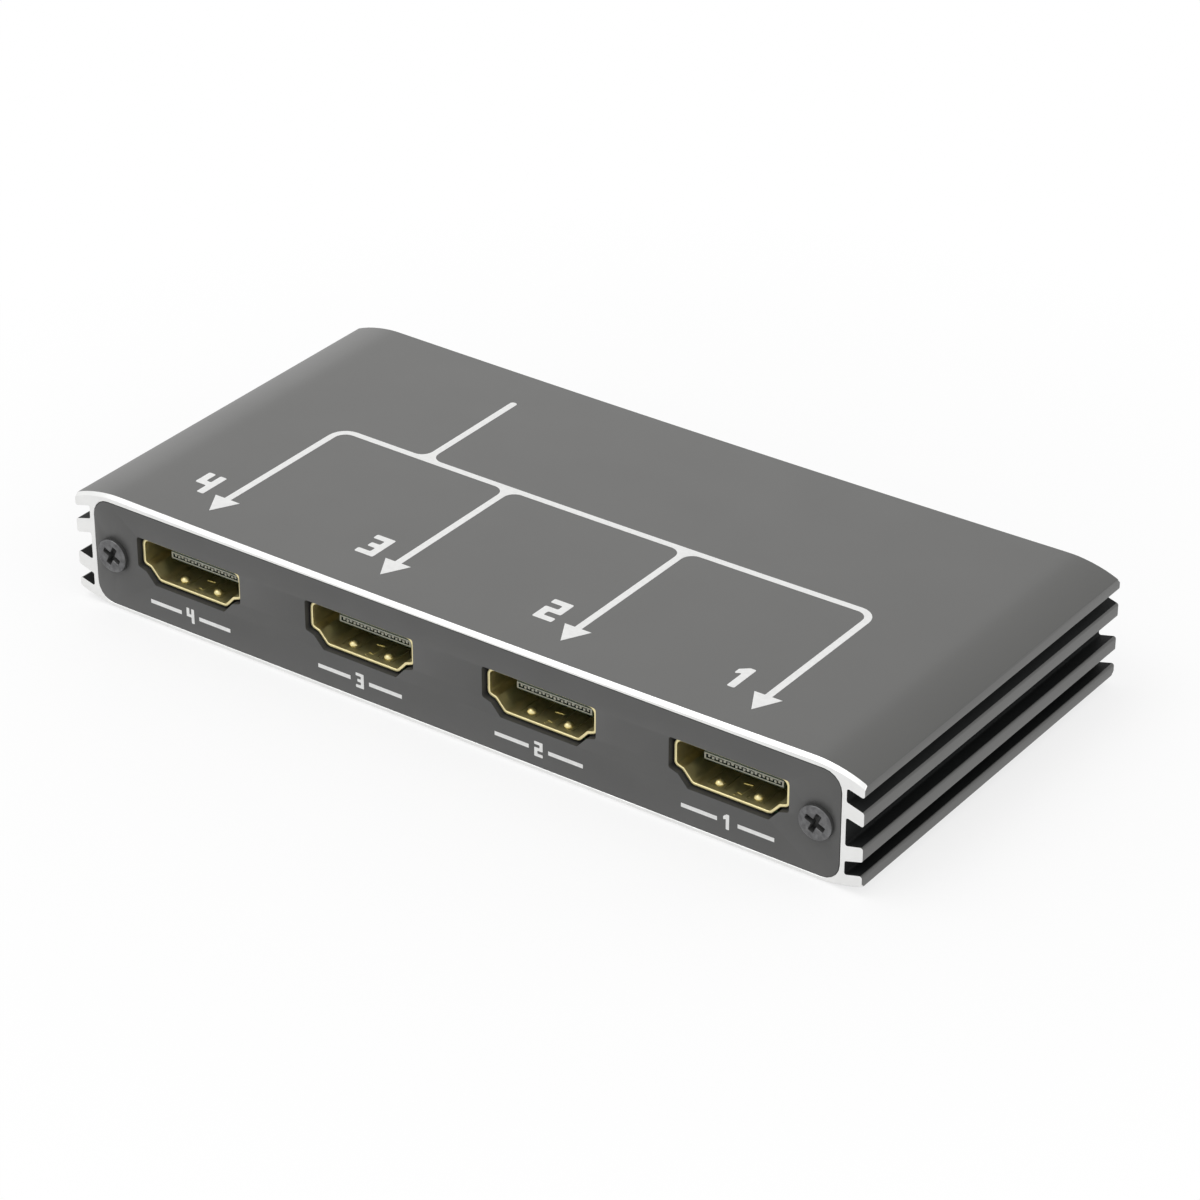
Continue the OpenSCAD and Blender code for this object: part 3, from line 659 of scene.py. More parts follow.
def lathe(bm, profile, sides=ROUND_SIDES):
    """A profile of (radius, y) points turned round the Y axis."""
    verts = [bm.verts.new((r, y, 0)) for r, y in profile]
    edges = [bm.edges.new(pair) for pair in zip(verts, verts[1:])]
    bmesh.ops.spin(
        bm, geom=verts + edges, cent=(0, 0, 0), axis=(0, 1, 0), angle=math.tau,
        steps=sides, use_merge=True,
    )
    bmesh.ops.remove_doubles(bm, verts=bm.verts, dist=MERGE)


def block(bm, low, high, edge, segments=2):
    """A box between two corners with its edges broken."""
    size = Vector(high) - Vector(low)
    centre = (Vector(high) + Vector(low)) / 2
    made = bmesh.ops.create_cube(
        bm, size=1, matrix=Matrix.Translation(centre) @ Matrix.Diagonal((*size, 1))
    )
    sides = {side for vert in made["verts"] for side in vert.link_edges}
    bmesh.ops.bevel(
        bm, geom=list(sides), offset=edge, offset_type="OFFSET", affect="EDGES",
        segments=segments, profile=0.5, material=-1,
    )


def quarter(r, steps=4):
    """(inset, depth) steps round a quarter of a circle, from a face to its side."""
    turns = [math.pi / 2 * k / steps for k in range(steps + 1)]
    return [(r * (1 - math.sin(turn)), r * (1 - math.cos(turn))) for turn in turns]


def slice_mesh(bm, place, normal):
    """New edges where a plane crosses the mesh."""
    bmesh.ops.bisect_plane(
        bm, geom=bm.verts[:] + bm.edges[:] + bm.faces[:], dist=MERGE,
        plane_co=place, plane_no=normal,
    )


def add(bm, other, place):
    """Adds another mesh at a place, and frees it."""
    other.transform(place)
    held = bpy.data.meshes.new("held")
    other.to_mesh(held)
    other.free()
    bm.from_mesh(held)
    bpy.data.meshes.remove(held)


def middle(node):
    """Middle of a solid's box."""
    low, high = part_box(node)
    return (low + high) / 2


def finished(name, bm, finishes, body, slot, *nodes):
    """The piece that a mesh makes: it rides on a body and stands for its nodes."""
    bmesh.ops.remove_doubles(bm, verts=bm.verts, dist=MERGE)
    bmesh.ops.recalc_face_normals(bm, faces=bm.faces)
    for face in bm.faces:
        face.smooth = True
    for edge in bm.edges:
        edge.smooth = edge.is_manifold and edge.calc_face_angle() < SHARP_TURN
    mesh = bpy.data.meshes.new(name)
    bm.to_mesh(mesh)
    bm.free()
    for key in finishes:
        mesh.materials.append(finish_of(key))
    made = bpy.data.objects.new(name, mesh)
    bpy.context.scene.collection.objects.link(made)
    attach(made, body)
    if nodes:
        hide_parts(*nodes)
    return made


def dress(node, key):
    """A finish on a solid that stays as it is."""
    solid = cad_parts[node]
    if not solid.material_slots:
        solid.data.materials.append(finish_of(key))
    for slot in solid.material_slots:
        slot.material = finish_of(key)


# Housing

# Straight pieces of the dipped top, and of each rounded corner of the outline
TOP_STEPS = 24
OUTLINE_STEPS = 6


def fin_corners(h):
    """Right side of the housing's outline, from the lower shoulder to the upper one."""
    tip_x = HOUSING_HIGH.x
    root_x = tip_x - h.fin_l
    slope_x = tip_x - h.slope_w
    root_1 = h.centre_gap / 2
    root_2 = root_1 + h.fin_root
    root_3 = root_2 + h.outer_gap
    tip_1 = root_1 + (h.fin_root - h.fin_tip) / 2 - h.fin_lean
    tip_2 = tip_1 + h.fin_tip
    tip_3 = root_3 - h.outer_lean
    root_r, tip_r = h.root_r, h.tip_r
    upper = [
        (root_x, root_1, root_r), (tip_x, tip_1, tip_r), (tip_x, tip_2, tip_r),
        (root_x, root_2, root_r), (root_x, root_3, root_r), (tip_x, tip_3, tip_r),
        (tip_x, h.tip_rise, tip_r),
    ]
    return [
        (slope_x, HOUSING_LOW.z, h.shoulder_r),
        *[(x, MID_Z - rise, r) for x, rise, r in reversed(upper)],
        *[(x, MID_Z + rise, r) for x, rise, r in upper],
        (slope_x, HOUSING_HIGH.z, h.shoulder_r),
    ]


def dip_reach(h):
    """Half the width of the dipped top."""
    return HOUSING_HIGH.x - h.slope_w - h.dip_margin


def top_z(h, x):
    """Height of the top at x."""
    t = min(abs(x) / dip_reach(h), 1)
    return HOUSING_HIGH.z - h.top_dip * (1 - t * t)


def housing_outline(h):
    """Points of the housing's outline."""
    reach = dip_reach(h)
    xs = [reach * (1 - 2 * k / TOP_STEPS) for k in range(TOP_STEPS + 1)]
    top = [(x, top_z(h, x), 0) for x in xs]
    side = fin_corners(h)
    return rounded([*side, *top, *mirrored(side)], OUTLINE_STEPS)


def chamfered(points, h):
    """The outline drawn in by the end chamfer along its top and bottom runs."""
    run = h.tip_rise - h.tip_r
    made = []
    for x, z in points:
        rise = z - MID_Z
        shift = math.copysign(h.end_chamfer, rise) if abs(rise) > run else 0
        made.append((x, z - shift))
    return made


def pocket_corners(p):
    """Corners of the pocket that a panel sits in."""
    return grown(node_corners("front_panel", p.corner_r), p.gap)


class SPLITTER_OT_housing(bpy.types.Operator):
    """Build the finned housing with its bare milled ends"""

    bl_idname = "splitter.housing"
    bl_label = "Housing"

    def execute(self, context):
        h, p = context.scene.splitter_housing, context.scene.splitter_panels
        bm = bmesh.new()
        outline = housing_outline(h)
        pocket = pocket_corners(p)
        cavity = grown(pocket, -h.ledge)
        walls, ledges = [], []
        for end, inward in ((FRONT_Y, 1), (REAR_Y, -1)):
            face, wall = loft(
                bm, (chamfered(outline, h), end), (outline, end + inward * h.end_chamfer)
            )
            mouth, seat = loft(
                bm,
                (rounded(grown(pocket, p.gap)), end),
                (rounded(pocket), end + inward * p.gap),
                (rounded(pocket), end + inward * PANEL_T),
            )
            bore = ring(bm, rounded(cavity), end + inward * PANEL_T)
            fill(bm, face, mouth)
            fill(bm, seat, bore)
            walls.append(wall)
            ledges.append(bore)
        join(bm, *walls)
        join(bm, *ledges)
        bm.normal_update()
        for each in bm.faces:
            each.material_index = self.finish_index(each, h)
        # Anodising, bare ends and the painted shade between the fins
        finishes = ("anodised", "bare", "gap")
        finished("finned_housing", bm, finishes, BOX, "black_housing", "housing")
        return {"FINISHED"}

    def finish_index(self, face, h):
        """1 on the bare milled ends, 2 for the painted shade between the fins and 0 elsewhere."""
        place = face.calc_center_median()
        if abs(face.normal.y) > LEANING:
            return int(abs(place.y) > REAR_Y - h.end_chamfer)
        # Faces deep between the fins take the painted shade
        in_painted_shade_gap = HOUSING_HIGH.x - h.fin_l - MERGE < abs(place.x) < HOUSING_HIGH.x - h.tip_r
        return 2 if in_painted_shade_gap and abs(place.z - MID_Z) < h.tip_rise - h.tip_r else 0


# Panels and screws

# Corner radii of a socket's opening: at its floor, step, side and top
OPENING_RADII = (0.5 * MM, 0.35 * MM, 0.3 * MM, 0.7 * MM)
# Corner radius of the windows of the setting switch
WINDOW_R = 0.1 * MM
# Share of a broken edge's width and depth at which it bends
EDGE_BEND = 0.3
# Length of a screw behind its panel, and the chamfer at its end
SCREW_REACH = 7 * MM
SCREW_TIP = 0.4 * MM
# Turns in which the screws were left, in degrees
SCREW_TURNS = (-26, -24, 40, 12)
# Corner radius of a cross recess
RECESS_R = 0.1 * MM


def socket_corners(s):
    """Corners of a socket's opening round its middle."""
    half, top = s.width / 2, s.height / 2
    side = top - s.side
    floor_r, step_r, side_r, top_r = OPENING_RADII
    right = [
        (s.floor / 2, -top, floor_r),
        (half - s.step_w, side - s.step_h, step_r),
        (half, side, side_r),
        (half, top, top_r),
    ]
    return right + mirrored(right)


def cutout_corners(s):
    """Corners of the cut-out round a socket. Its top edge lies close over the shell."""
    top = s.height / 2 + s.wall + s.over
    sides = grown(socket_corners(s), s.wall + s.fit)
    return [(x, min(z, top), s.cutout_r) for x, z, _ in sides]


def socket_middle(name, s):
    """Middle (x, z) of a socket."""
    low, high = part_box(name + "_shell")
    return (low.x + high.x) / 2, high.z - s.wall - s.height / 2


def screw_places():
    """Middles (x, z) of the screws in a panel."""
    low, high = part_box("panel_screws")
    head_r = (high.z - low.z) / 2
    return [(low.x + head_r, MID_Z), (high.x - head_r, MID_Z)]


def panel_mesh(p, face_y, inward, holes):
    """A panel with broken edges. Each hole gives its points for a growth."""
    bm = bmesh.new()
    rim = node_corners("front_panel", p.corner_r)
    bend = p.edge * EDGE_BEND
    fronts, backs = [], []
    for points in (lambda g: rounded(grown(rim, -g)), *holes):
        front, back = loft(
            bm,
            (points(p.edge), face_y),
            (points(bend), face_y + inward * bend),
            (points(0), face_y + inward * p.edge),
            (points(0), face_y + inward * PANEL_T),
        )
        fronts.append(front)
        backs.append(back)
    fill(bm, *fronts)
    fill(bm, *backs)
    bm.normal_update()
    # Faces that don't face along Y, the edge and cut-out walls, take the painted shade
    for each in bm.faces:
        each.material_index = int(abs(each.normal.y) < FACING)
    return bm


def outline_hole(corners):
    """A hole with an outline of corners."""
    return lambda g: rounded(grown(corners, g))


def round_hole(x, z, r):
    """A round hole."""
    return lambda g: circle(x, z, r + g)


class SPLITTER_OT_panels(bpy.types.Operator):
    """Build the front and rear panels with their cut-outs"""

    bl_idname = "splitter.panels"
    bl_label = "Panels"

    def execute(self, context):
        p, s = context.scene.splitter_panels, context.scene.splitter_sockets
        f = context.scene.splitter_fittings
        screw_holes = [round_hole(x, z, p.hole_d / 2) for x, z in screw_places()]
        cutout = cutout_corners(s)

        outputs = [outline_hole(moved(cutout, *socket_middle(name, s))) for name in OUTPUTS]
        bm = panel_mesh(p, FRONT_Y, 1, outputs + screw_holes)
        # Each plate: paint on its faces, painted shade on its edge walls
        finished("front_plate", bm, ("panel", "cut"), BOX, "black_panel", "front_panel")

        window = grown(node_corners("switch_cover", WINDOW_R), f.window_gap)
        light, jack = middle("power_light"), middle("power_jack_body")
        rear = [
            outline_hole(moved(cutout, *socket_middle("input", s))),
            outline_hole(window),
            round_hole(light.x, light.z, f.light_d / 2 + f.light_gap),
            round_hole(jack.x, jack.z, f.jack_nose / 2 + f.jack_gap),
        ]
        bm = panel_mesh(p, REAR_Y, -1, rear + screw_holes)
        finished("rear_plate", bm, ("panel", "cut"), BOX, "black_panel", "rear_panel")
        return {"FINISHED"}


def cross_corners(p):
    """Corners of a screw's cross recess round its middle."""
    arm, half = p.recess_l / 2, p.recess_w / 2
    quarter_turn = Matrix.Rotation(math.pi / 2, 2)
    corners = [Vector((arm, -half)), Vector((arm, half)), Vector((half, half))]
    made = []
    for _ in range(4):
        made += [(point.x, point.y, RECESS_R) for point in corners]
        corners = [quarter_turn @ point for point in corners]
    return made


def screw_mesh(bm, p, head_r, head_h, shank_l, turn):
    """A screw on the Y axis: its head stands out to -Y from the face at 0."""
    rim = [(head_r - inset, depth - head_h) for inset, depth in quarter(p.head_round)]
    shank_r = p.shank_d / 2
    lathe(bm, [
        *rim, (head_r, 0), (shank_r, 0), (shank_r, shank_l - SCREW_TIP),
        (shank_r - SCREW_TIP, shank_l), (0, shank_l),
    ])
    top = open_edges(bm)
    cross = cross_corners(p)
    spun = Matrix.Rotation(turn, 2)

    def section(g, depth):
        """The recess, grown by g, at a depth."""
        points = [spun @ point for point in rounded(grown(cross, g), 3)]
        return points, depth - head_h

    lip, lip_depth = 0.05 * MM, 0.06 * MM
    taper, taper_depth = 0.06 * MM, 0.6 * p.recess_depth
    floor_taper = 0.16 * MM
    mouth, bottom = loft(
        bm,
        section(lip, 0),
        section(0, lip_depth),
        section(-taper, taper_depth),
        section(-floor_taper, p.recess_depth),
    )
    fill(bm, top, mouth)
    fill(bm, bottom)
    bm.normal_update()
    # The face of the head takes the screw finish; its side, the depth of its recess and the shank
    # take the painted shade
    for face in bm.faces:
        outside = face.calc_center_median().y < p.head_round - head_h
        on_top = outside and abs(face.normal.y) > FACING
        face.material_index = 0 if on_top else 1


class SPLITTER_OT_screws(bpy.types.Operator):
    """Build the four cross-recess panel screws"""

    bl_idname = "splitter.screws"
    bl_label = "Panel screws"

    def execute(self, context):
        p = context.scene.splitter_panels
        low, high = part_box("panel_screws")
        head_r, head_h = (high.z - low.z) / 2, FRONT_Y - low.y
        shank_l = PANEL_T + SCREW_REACH
        turns = iter(math.radians(turn) for turn in SCREW_TURNS)
        bm = bmesh.new()
        for end, face_y in ((0, FRONT_Y), (math.pi, REAR_Y)):
            for x, z in screw_places():
                one = bmesh.new()
                screw_mesh(one, p, head_r, head_h, shank_l, next(turns))
                place = Matrix.Translation((x, face_y, z)) @ Matrix.Rotation(end, 4, "Z")
                add(bm, one, place)
        # Black oxide on the heads' faces, painted shade on their sides and in their recesses
        finished("cross_screws", bm, ("screw", "cut"), BOX, "black_screw", "panel_screws")
        return {"FINISHED"}


# Sockets, modelled with their rim at y = 0 and their inside along +Y, round their middle

# Contacts in the two rows of a tongue
LOWER_ROW = 9
UPPER_ROW = 10
# Bends of the lock seam as (right, back) in millimetres, from the rim
SEAM_BENDS = ((0, 0.5), (0, 1.3), (0.6, 1.15), (0.8, 3.15), (-0.3, 3))
# Places of a shell's legs behind its rim, and their width
LEG_PLACES = (3 * MM, 9 * MM)
LEG_W = 1.2 * MM


def socket_place(name, s):
    """Matrix that puts a socket where its shell is."""
    low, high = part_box(name + "_shell")
    x, z = socket_middle(name, s)
    if name in OUTPUTS:
        return Matrix.Translation((x, low.y, z))
    return Matrix.Translation((x, high.y, z)) @ Matrix.Rotation(math.pi, 4, "Z")


def shell_length():
    """Length of a shell along Y."""
    low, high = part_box("output_1_shell")
    return high.y - low.y


def cut_fingers(bm, s):
    """Cuts the slits round the four spring fingers through the shell's wall."""
    half, slit = s.finger_w / 2, s.slit
    start, end = s.finger_set, s.finger_set + s.finger_l
    for side in (-1, 1):
        for x in (-half - slit, -half, half, half + slit):
            slice_mesh(bm, (side * s.finger_x + x, 0, 0), (1, 0, 0))
    for y in (start, start + slit, end):
        slice_mesh(bm, (0, y, 0), (0, 1, 0))

    def in_slit(face):
        """Whether a face lies where a slit is cut."""
        place = face.calc_center_median()
        across = abs(abs(place.x) - s.finger_x)
        flat = abs(face.normal.z) > FLAT
        if not flat or across > half + slit or not start < place.y < end:
            return False
        return across > half or place.y < start + slit

    bm.normal_update()
    bmesh.ops.delete(bm, geom=[face for face in bm.faces if in_slit(face)], context="FACES")
    for wall in (-1, 1):
        for side in (-1, 1):
            cut = [edge for edge in open_edges(bm) if near_finger(edge, wall, side)]
            bmesh.ops.bridge_loops(bm, edges=cut)


def near_finger(edge, wall, side):
    """Whether an edge is at the finger of one wall on one side."""
    place = (edge.verts[0].co + edge.verts[1].co) / 2
    return place.z * wall > 0 and place.x * side > 0


def add_dimples(bm, s):
    """Bumps on the spring fingers, inside the shell."""
    sunk = 0.05 * MM
    for wall in (-1, 1):
        for side in (-1, 1):
            bump = bmesh.new()
            bmesh.ops.create_uvsphere(bump, u_segments=24, v_segments=16, radius=s.dimple_r)
            base = s.dimple_r - s.dimple_h - sunk
            cut = bmesh.ops.bisect_plane(
                bump, geom=bump.verts[:] + bump.edges[:] + bump.faces[:], dist=MERGE,
                plane_co=(0, 0, base), plane_no=(0, 0, -1), clear_outer=True,
            )
            rim = [item for item in cut["geom_cut"] if isinstance(item, bmesh.types.BMEdge)]
            bmesh.ops.edgeloop_fill(bump, edges=rim)
            turn = Matrix.Rotation(0 if wall < 0 else math.pi, 4, "X")
            rise = -wall * (base + sunk)
            place = (side * s.finger_x, s.dimple_set, wall * s.height / 2 - rise)
            add(bm, bump, Matrix.Translation(place) @ turn)


def add_seam(bm, s):
    """The lock seam of the shell: a fine ridge along a dovetail in its floor."""
    path = [(right * MM, back * MM) for right, back in SEAM_BENDS]
    path.append((path[-1][0], shell_length() - s.insulator_l))
    ridge = bmesh.new()
    verts = [ridge.verts.new((*point, 0)) for point in path]
    edges = [ridge.edges.new(pair) for pair in zip(verts, verts[1:])]
    upper = verts_in(bmesh.ops.extrude_edge_only(ridge, edges=edges)["geom"])
    sunk = 0.02 * MM
    bmesh.ops.translate(ridge, verts=upper, vec=(0, 0, s.seam_h + sunk))
    bmesh.ops.solidify(ridge, geom=ridge.faces[:], thickness=s.seam_w)
    add(bm, ridge, Matrix.Translation((0, 0, -s.height / 2 - sunk)))


def add_legs(bm, s, name):
    """Legs of the shell, down through the board."""
    low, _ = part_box(name + "_shell")
    foot = low.z - socket_middle(name, s)[1]
    spare, edge = 0.02 * MM, 0.06 * MM
    inner, outer = s.width / 2 + spare, s.width / 2 + s.wall - spare
    for side in (-1, 1):
        left, right = sorted((side * inner, side * outer))
        for y in LEG_PLACES:
            block(bm, (left, y, foot), (right, y + LEG_W, 0), edge, 1)


class SPLITTER_OT_shells(bpy.types.Operator):
    """Build the gold-plated shells of the sockets"""

    bl_idname = "splitter.shells"
    bl_label = "Socket shells"

    def execute(self, context):
        s = context.scene.splitter_sockets
        corners = socket_corners(s)
        back = shell_length()
        edge = quarter(s.rim_r, 3)
        outer = [(s.wall - inset, depth) for inset, depth in reversed(edge)]
        sections = [(s.wall, back), *outer, *edge, (0, back)]
        for name in SOCKETS:
            bm = bmesh.new()
            rings = loft(bm, *[(rounded(grown(corners, g)), y) for g, y in sections])
            join(bm, *rings)
            cut_fingers(bm, s)
            add_dimples(bm, s)
            add_seam(bm, s)
            add_legs(bm, s, name)
            bm.transform(socket_place(name, s))
            finished(name + "_gold_shell", bm, ("gold",), BOX, "gold_shell", name + "_shell")
        return {"FINISHED"}


def tongue_corners(s):
    """Section of the tongue, with a channel for every contact."""
    half_w, half_t = s.tongue_w / 2, s.tongue_t / 2
    half_c = s.channel_w / 2

    def edge(count, z, inward):
        """Points of the channels in one row."""
        xs = [(k - (count - 1) / 2) * s.pitch for k in range(count)]
        for x in xs:
            yield from ((x - half_c, z), (x - half_c, z + inward))
            yield from ((x + half_c, z + inward), (x + half_c, z))

    lower = [(-half_w, -half_t), *edge(LOWER_ROW, -half_t, s.channel_d), (half_w, -half_t)]
    upper = [(-half_w, half_t), *edge(UPPER_ROW, half_t, -s.channel_d), (half_w, half_t)]
    return [(x, z - s.tongue_drop) for x, z in [*lower, *reversed(upper)]]


def add_contact_tips(bm, s, bed_y):
    """Tips of the contacts in the groove of the nose, by turns from the upper and the lower row."""
    half, half_h, stagger = s.tip_w / 2, 0.16 * MM, 0.05 * MM
    sunk, edge = 0.03 * MM, 0.03 * MM
    front, back = s.tongue_set + sunk, bed_y + sunk
    count = LOWER_ROW + UPPER_ROW
    tips = bmesh.new()
    for k in range(count):
        x = (k - (count - 1) / 2) * s.pitch / 2
        z = -s.tongue_drop + (stagger if k % 2 == 0 else -stagger)
        block(tips, (x - half, front, z - half_h), (x + half, back, z + half_h), edge, 1)
    # The tips take the same pale painted-light copy of the plastic as the tongue's front face
    for face in tips.faces:
        face.material_index = 1
    add(bm, tips, Matrix.Identity(4))


class SPLITTER_OT_insulators(bpy.types.Operator):
    """Build the socket insulators with their tongues"""

    bl_idname = "splitter.insulators"
    bl_label = "Socket insulators"

    def execute(self, context):
        s = context.scene.splitter_sockets
        back = shell_length()
        base = back - s.insulator_l
        front = s.tongue_set
        nose_y, bed_y = front + s.nose_l, front + s.groove_d
        edge, border = 0.05 * MM, 0.28 * MM
        spare, play = 0.01 * MM, 0.03 * MM
        body = rounded(grown(socket_corners(s), -play))
        tongue = tongue_corners(s)
        half_w = s.tongue_w / 2
        collar = self.strip(s, half_w + spare, s.tongue_t + 2 * spare)
        nose = self.strip(s, half_w - edge, s.nose_t)
        groove = self.strip(s, half_w - border, s.groove_t)
        for name in SOCKETS:
            bm = bmesh.new()
            face, end = loft(bm, (body, base), (body, back))
            root, comb = loft(bm, (tongue, base), (tongue, nose_y))
            neck, tip = loft(bm, (collar, nose_y), (nose, front))
            mouth, bed = loft(bm, (groove, front), (groove, bed_y))
            for rings in ((face, root), (end,), (neck, comb), (tip, mouth), (bed,)):
                fill(bm, *rings)
            # The front face takes the painted-light copy of the plastic, all else the painted-shade
            # copy
            for each in bm.faces:
                each.material_index = int(each.calc_center_median().y < front + MERGE)
            add_contact_tips(bm, s, bed_y)
            bm.transform(socket_place(name, s))
            finishes = ("insulator", "nose")
            finished(name + "_tongue", bm, finishes, BOX, "socket_plastic", name + "_insulator")
            dress(name + "_contacts", "contact")
        return {"FINISHED"}

    def strip(self, s, half_w, thickness):
        """Corner points of a rectangle round the middle of the tongue."""
        low, high = -s.tongue_drop - thickness / 2, -s.tongue_drop + thickness / 2
        return [(x, z) for x, z, _ in box_corners((-half_w, low), (half_w, high), 0)]


# Rear fittings


class SPLITTER_OT_power_jack(bpy.types.Operator):
    """Build the power jack and its pin"""

    bl_idname = "splitter.power_jack"
    bl_label = "Power jack"

    def execute(self, context):
        f = context.scene.splitter_fittings
        x, _, z = middle("power_jack_body")
        self.build_body(f, x, z)
        self.build_pin(f, x, z)
        dress("power_jack_spring", "tin")
        return {"FINISHED"}

    def build_body(self, f, x, z):
        """The jack's body, with its round nose and its bore."""
        low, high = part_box("power_jack_body")
        nose_r, bore_r = f.jack_nose / 2, f.jack_bore / 2
        clear, corner_r = 0.2 * MM, 0.3 * MM
        edge, lead = 0.2 * MM, 0.35 * MM
        step_y, front = REAR_Y - PANEL_T - clear, high.y
        body = rounded(node_corners("power_jack_body", corner_r))
        nose = [(nose_r - inset, front - depth) for inset, depth in reversed(quarter(edge))]
        bm = bmesh.new()
        end, shoulder = loft(bm, (body, low.y), (body, step_y))
        root, rim = loft(
            bm,
            (circle(x, z, nose_r), step_y),
            *[(circle(x, z, r), y) for r, y in nose],
            (circle(x, z, bore_r + lead), front),
            (circle(x, z, bore_r), front - lead),
            (circle(x, z, bore_r), front - f.jack_depth),
        )
        fill(bm, end)
        fill(bm, shoulder, root)
        fill(bm, rim)
        finished("jack_body", bm, ("black",), BOX, "black_plastic", "power_jack_body")

    def build_pin(self, f, x, z):
        """The centre pin, with its root and its tail."""
        low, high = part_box("power_jack_pin")
        pin_r, root_r = f.jack_pin / 2, f.jack_root / 2
        dome_r, tail_t, edge = 0.45 * MM, 0.4 * MM, 0.05 * MM
        floor_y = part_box("power_jack_body")[1].y - f.jack_depth
        dome = [(pin_r - inset, high.y - depth) for inset, depth in quarter(dome_r, 6)]
        profile = [
            (0, high.y), *dome, (pin_r, floor_y), (root_r, floor_y), (root_r, low.y), (0, low.y),
        ]
        bm = bmesh.new()
        lathe(bm, profile, SMALL_SIDES)
        bm.transform(Matrix.Translation((x, 0, z)))
        block(bm, low, (high.x, low.y + tail_t, z), edge, 1)
        finished("jack_pin", bm, ("tin",), BOX, "plated_pin", "power_jack_pin")


def lever_rests():
    """Middle (x, z) of each lever at rest."""
    return [(middle(name).x, middle(name).z) for name in LEVERS]


class SPLITTER_OT_setting_switch(bpy.types.Operator):
    """Build the setting switch: cover, base and four levers"""

    bl_idname = "splitter.setting_switch"
    bl_label = "Setting switch"

    def execute(self, context):
        f = context.scene.splitter_fittings
        self.build_cover(f)
        edge = 0.15 * MM
        bm = bmesh.new()
        block(bm, *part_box("switch_base"), edge)
        finished("switch_block", bm, ("black",), BOX, "black_plastic", "switch_base")
        dress("switch_terminals", "tin")
        for name, rest in zip(LEVERS, lever_rests()):
            self.build_lever(f, name, *rest)
        return {"FINISHED"}

    def build_cover(self, f):
        """The cover, with a window for each lever and room for its flange."""
        low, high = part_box("switch_cover")
        edge, corner_r, lip = 0.2 * MM, 0.25 * MM, 0.1 * MM
        face = node_corners("switch_cover", corner_r)
        step_y = low.y + f.flange_room
        bm = bmesh.new()
        front, back = loft(
            bm,
            *[(rounded(grown(face, -inset)), high.y - depth) for inset, depth in quarter(edge, 3)],
            (rounded(face), low.y),
        )
        windows, rooms = [front], [back]
        for x, z in lever_rests():
            z += f.travel / 2
            half = f.knob / 2 + f.knob_play
            tall = half + f.travel / 2
            window = box_corners((x - half, z - tall), (x + half, z + tall), WINDOW_R)
            room = grown(window, f.flange)
            mouth, inner = loft(
                bm,
                (rounded(grown(window, lip)), high.y),
                (rounded(window), high.y - lip),
                (rounded(window), step_y),
            )
            outer, end = loft(bm, (rounded(room), step_y), (rounded(room), low.y))
            fill(bm, outer, inner)
            windows.append(mouth)
            rooms.append(end)
        fill(bm, *windows)
        fill(bm, *rooms)
        finished("switch_face", bm, ("switch",), BOX, "switch_red", "switch_cover")

    def build_lever(self, f, name, x, z):
        """A lever: a knob on a flange."""
        low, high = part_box(name)
        half, corner_r, edge = f.knob / 2, 0.15 * MM, 0.14 * MM
        knob = box_corners((x - half, z - half), (x + half, z + half), corner_r)
        flange = node_corners(name, WINDOW_R)
        flange_y = low.y + f.flange_t
        bm = bmesh.new()
        end, shoulder = loft(bm, (rounded(flange), low.y), (rounded(flange), flange_y))
        root, tip = loft(
            bm,
            (rounded(knob), flange_y),
            *[(rounded(grown(knob, -inset)), high.y - depth)
              for inset, depth in reversed(quarter(edge, 3))],
        )
        fill(bm, end)
        fill(bm, shoulder, root)
        fill(bm, tip)
        finished(name + "_knob", bm, ("lever",), name, "lever_white", name)


class SPLITTER_OT_power_light(bpy.types.Operator):
    """Build the power light's lens"""

    bl_idname = "splitter.power_light"
    bl_label = "Power light"

    def execute(self, context):
        f = context.scene.splitter_fittings
        low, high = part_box("power_light")
        r, flange_r = f.light_d / 2, (high.z - low.z) / 2
        dome = [(r - inset, high.y - depth) for inset, depth in quarter(r, 12)]
        flange_t, edge = 1 * MM, 0.15 * MM
        flange_y = low.y + flange_t
        bm = bmesh.new()
        lathe(bm, [
            *dome, (r, flange_y), (flange_r - edge, flange_y), (flange_r, flange_y - edge),
            (flange_r, low.y), (0, low.y),
        ])
        place = middle("power_light")
        bm.transform(Matrix.Translation((place.x, 0, place.z)))
        finished("light_dome", bm, ("lens",), BOX, "light_lens", "power_light")
        dress("power_light_leads", "tin")
        return {"FINISHED"}


# White print: thin plates of ink, drawn in (right, up) coordinates of the face that they are on


def plate(bm, points, ink):
    """A plate of ink over a closed outline of (right, up) points."""
    one = bmesh.new()
    verts = [one.verts.new((*point, 0)) for point in points]
    edges = [one.edges.new(pair) for pair in zip(verts, verts[1:] + verts[:1])]
    bmesh.ops.triangle_fill(one, edges=edges, use_beauty=True, normal=(0, 0, 1))
    thicken(one, ink)
    add(bm, one, Matrix.Identity(4))


def thicken(bm, ink):
    """Gives flat faces the thickness of the ink."""
    raised = verts_in(bmesh.ops.extrude_face_region(bm, geom=bm.faces[:])["geom"])
    bmesh.ops.translate(bm, verts=raised, vec=(0, 0, ink))


def bar(bm, low, high, ink):
    """A rectangle of ink between two (right, up) points."""
    plate(bm, [low, (high[0], low[1]), high, (low[0], high[1])], ink)


def triangle(bm, x, z, half, ink):
    """A triangle of ink that points up, centred at a place."""
    plate(bm, [(x - half, z - half), (x + half, z - half), (x, z + half)], ink)


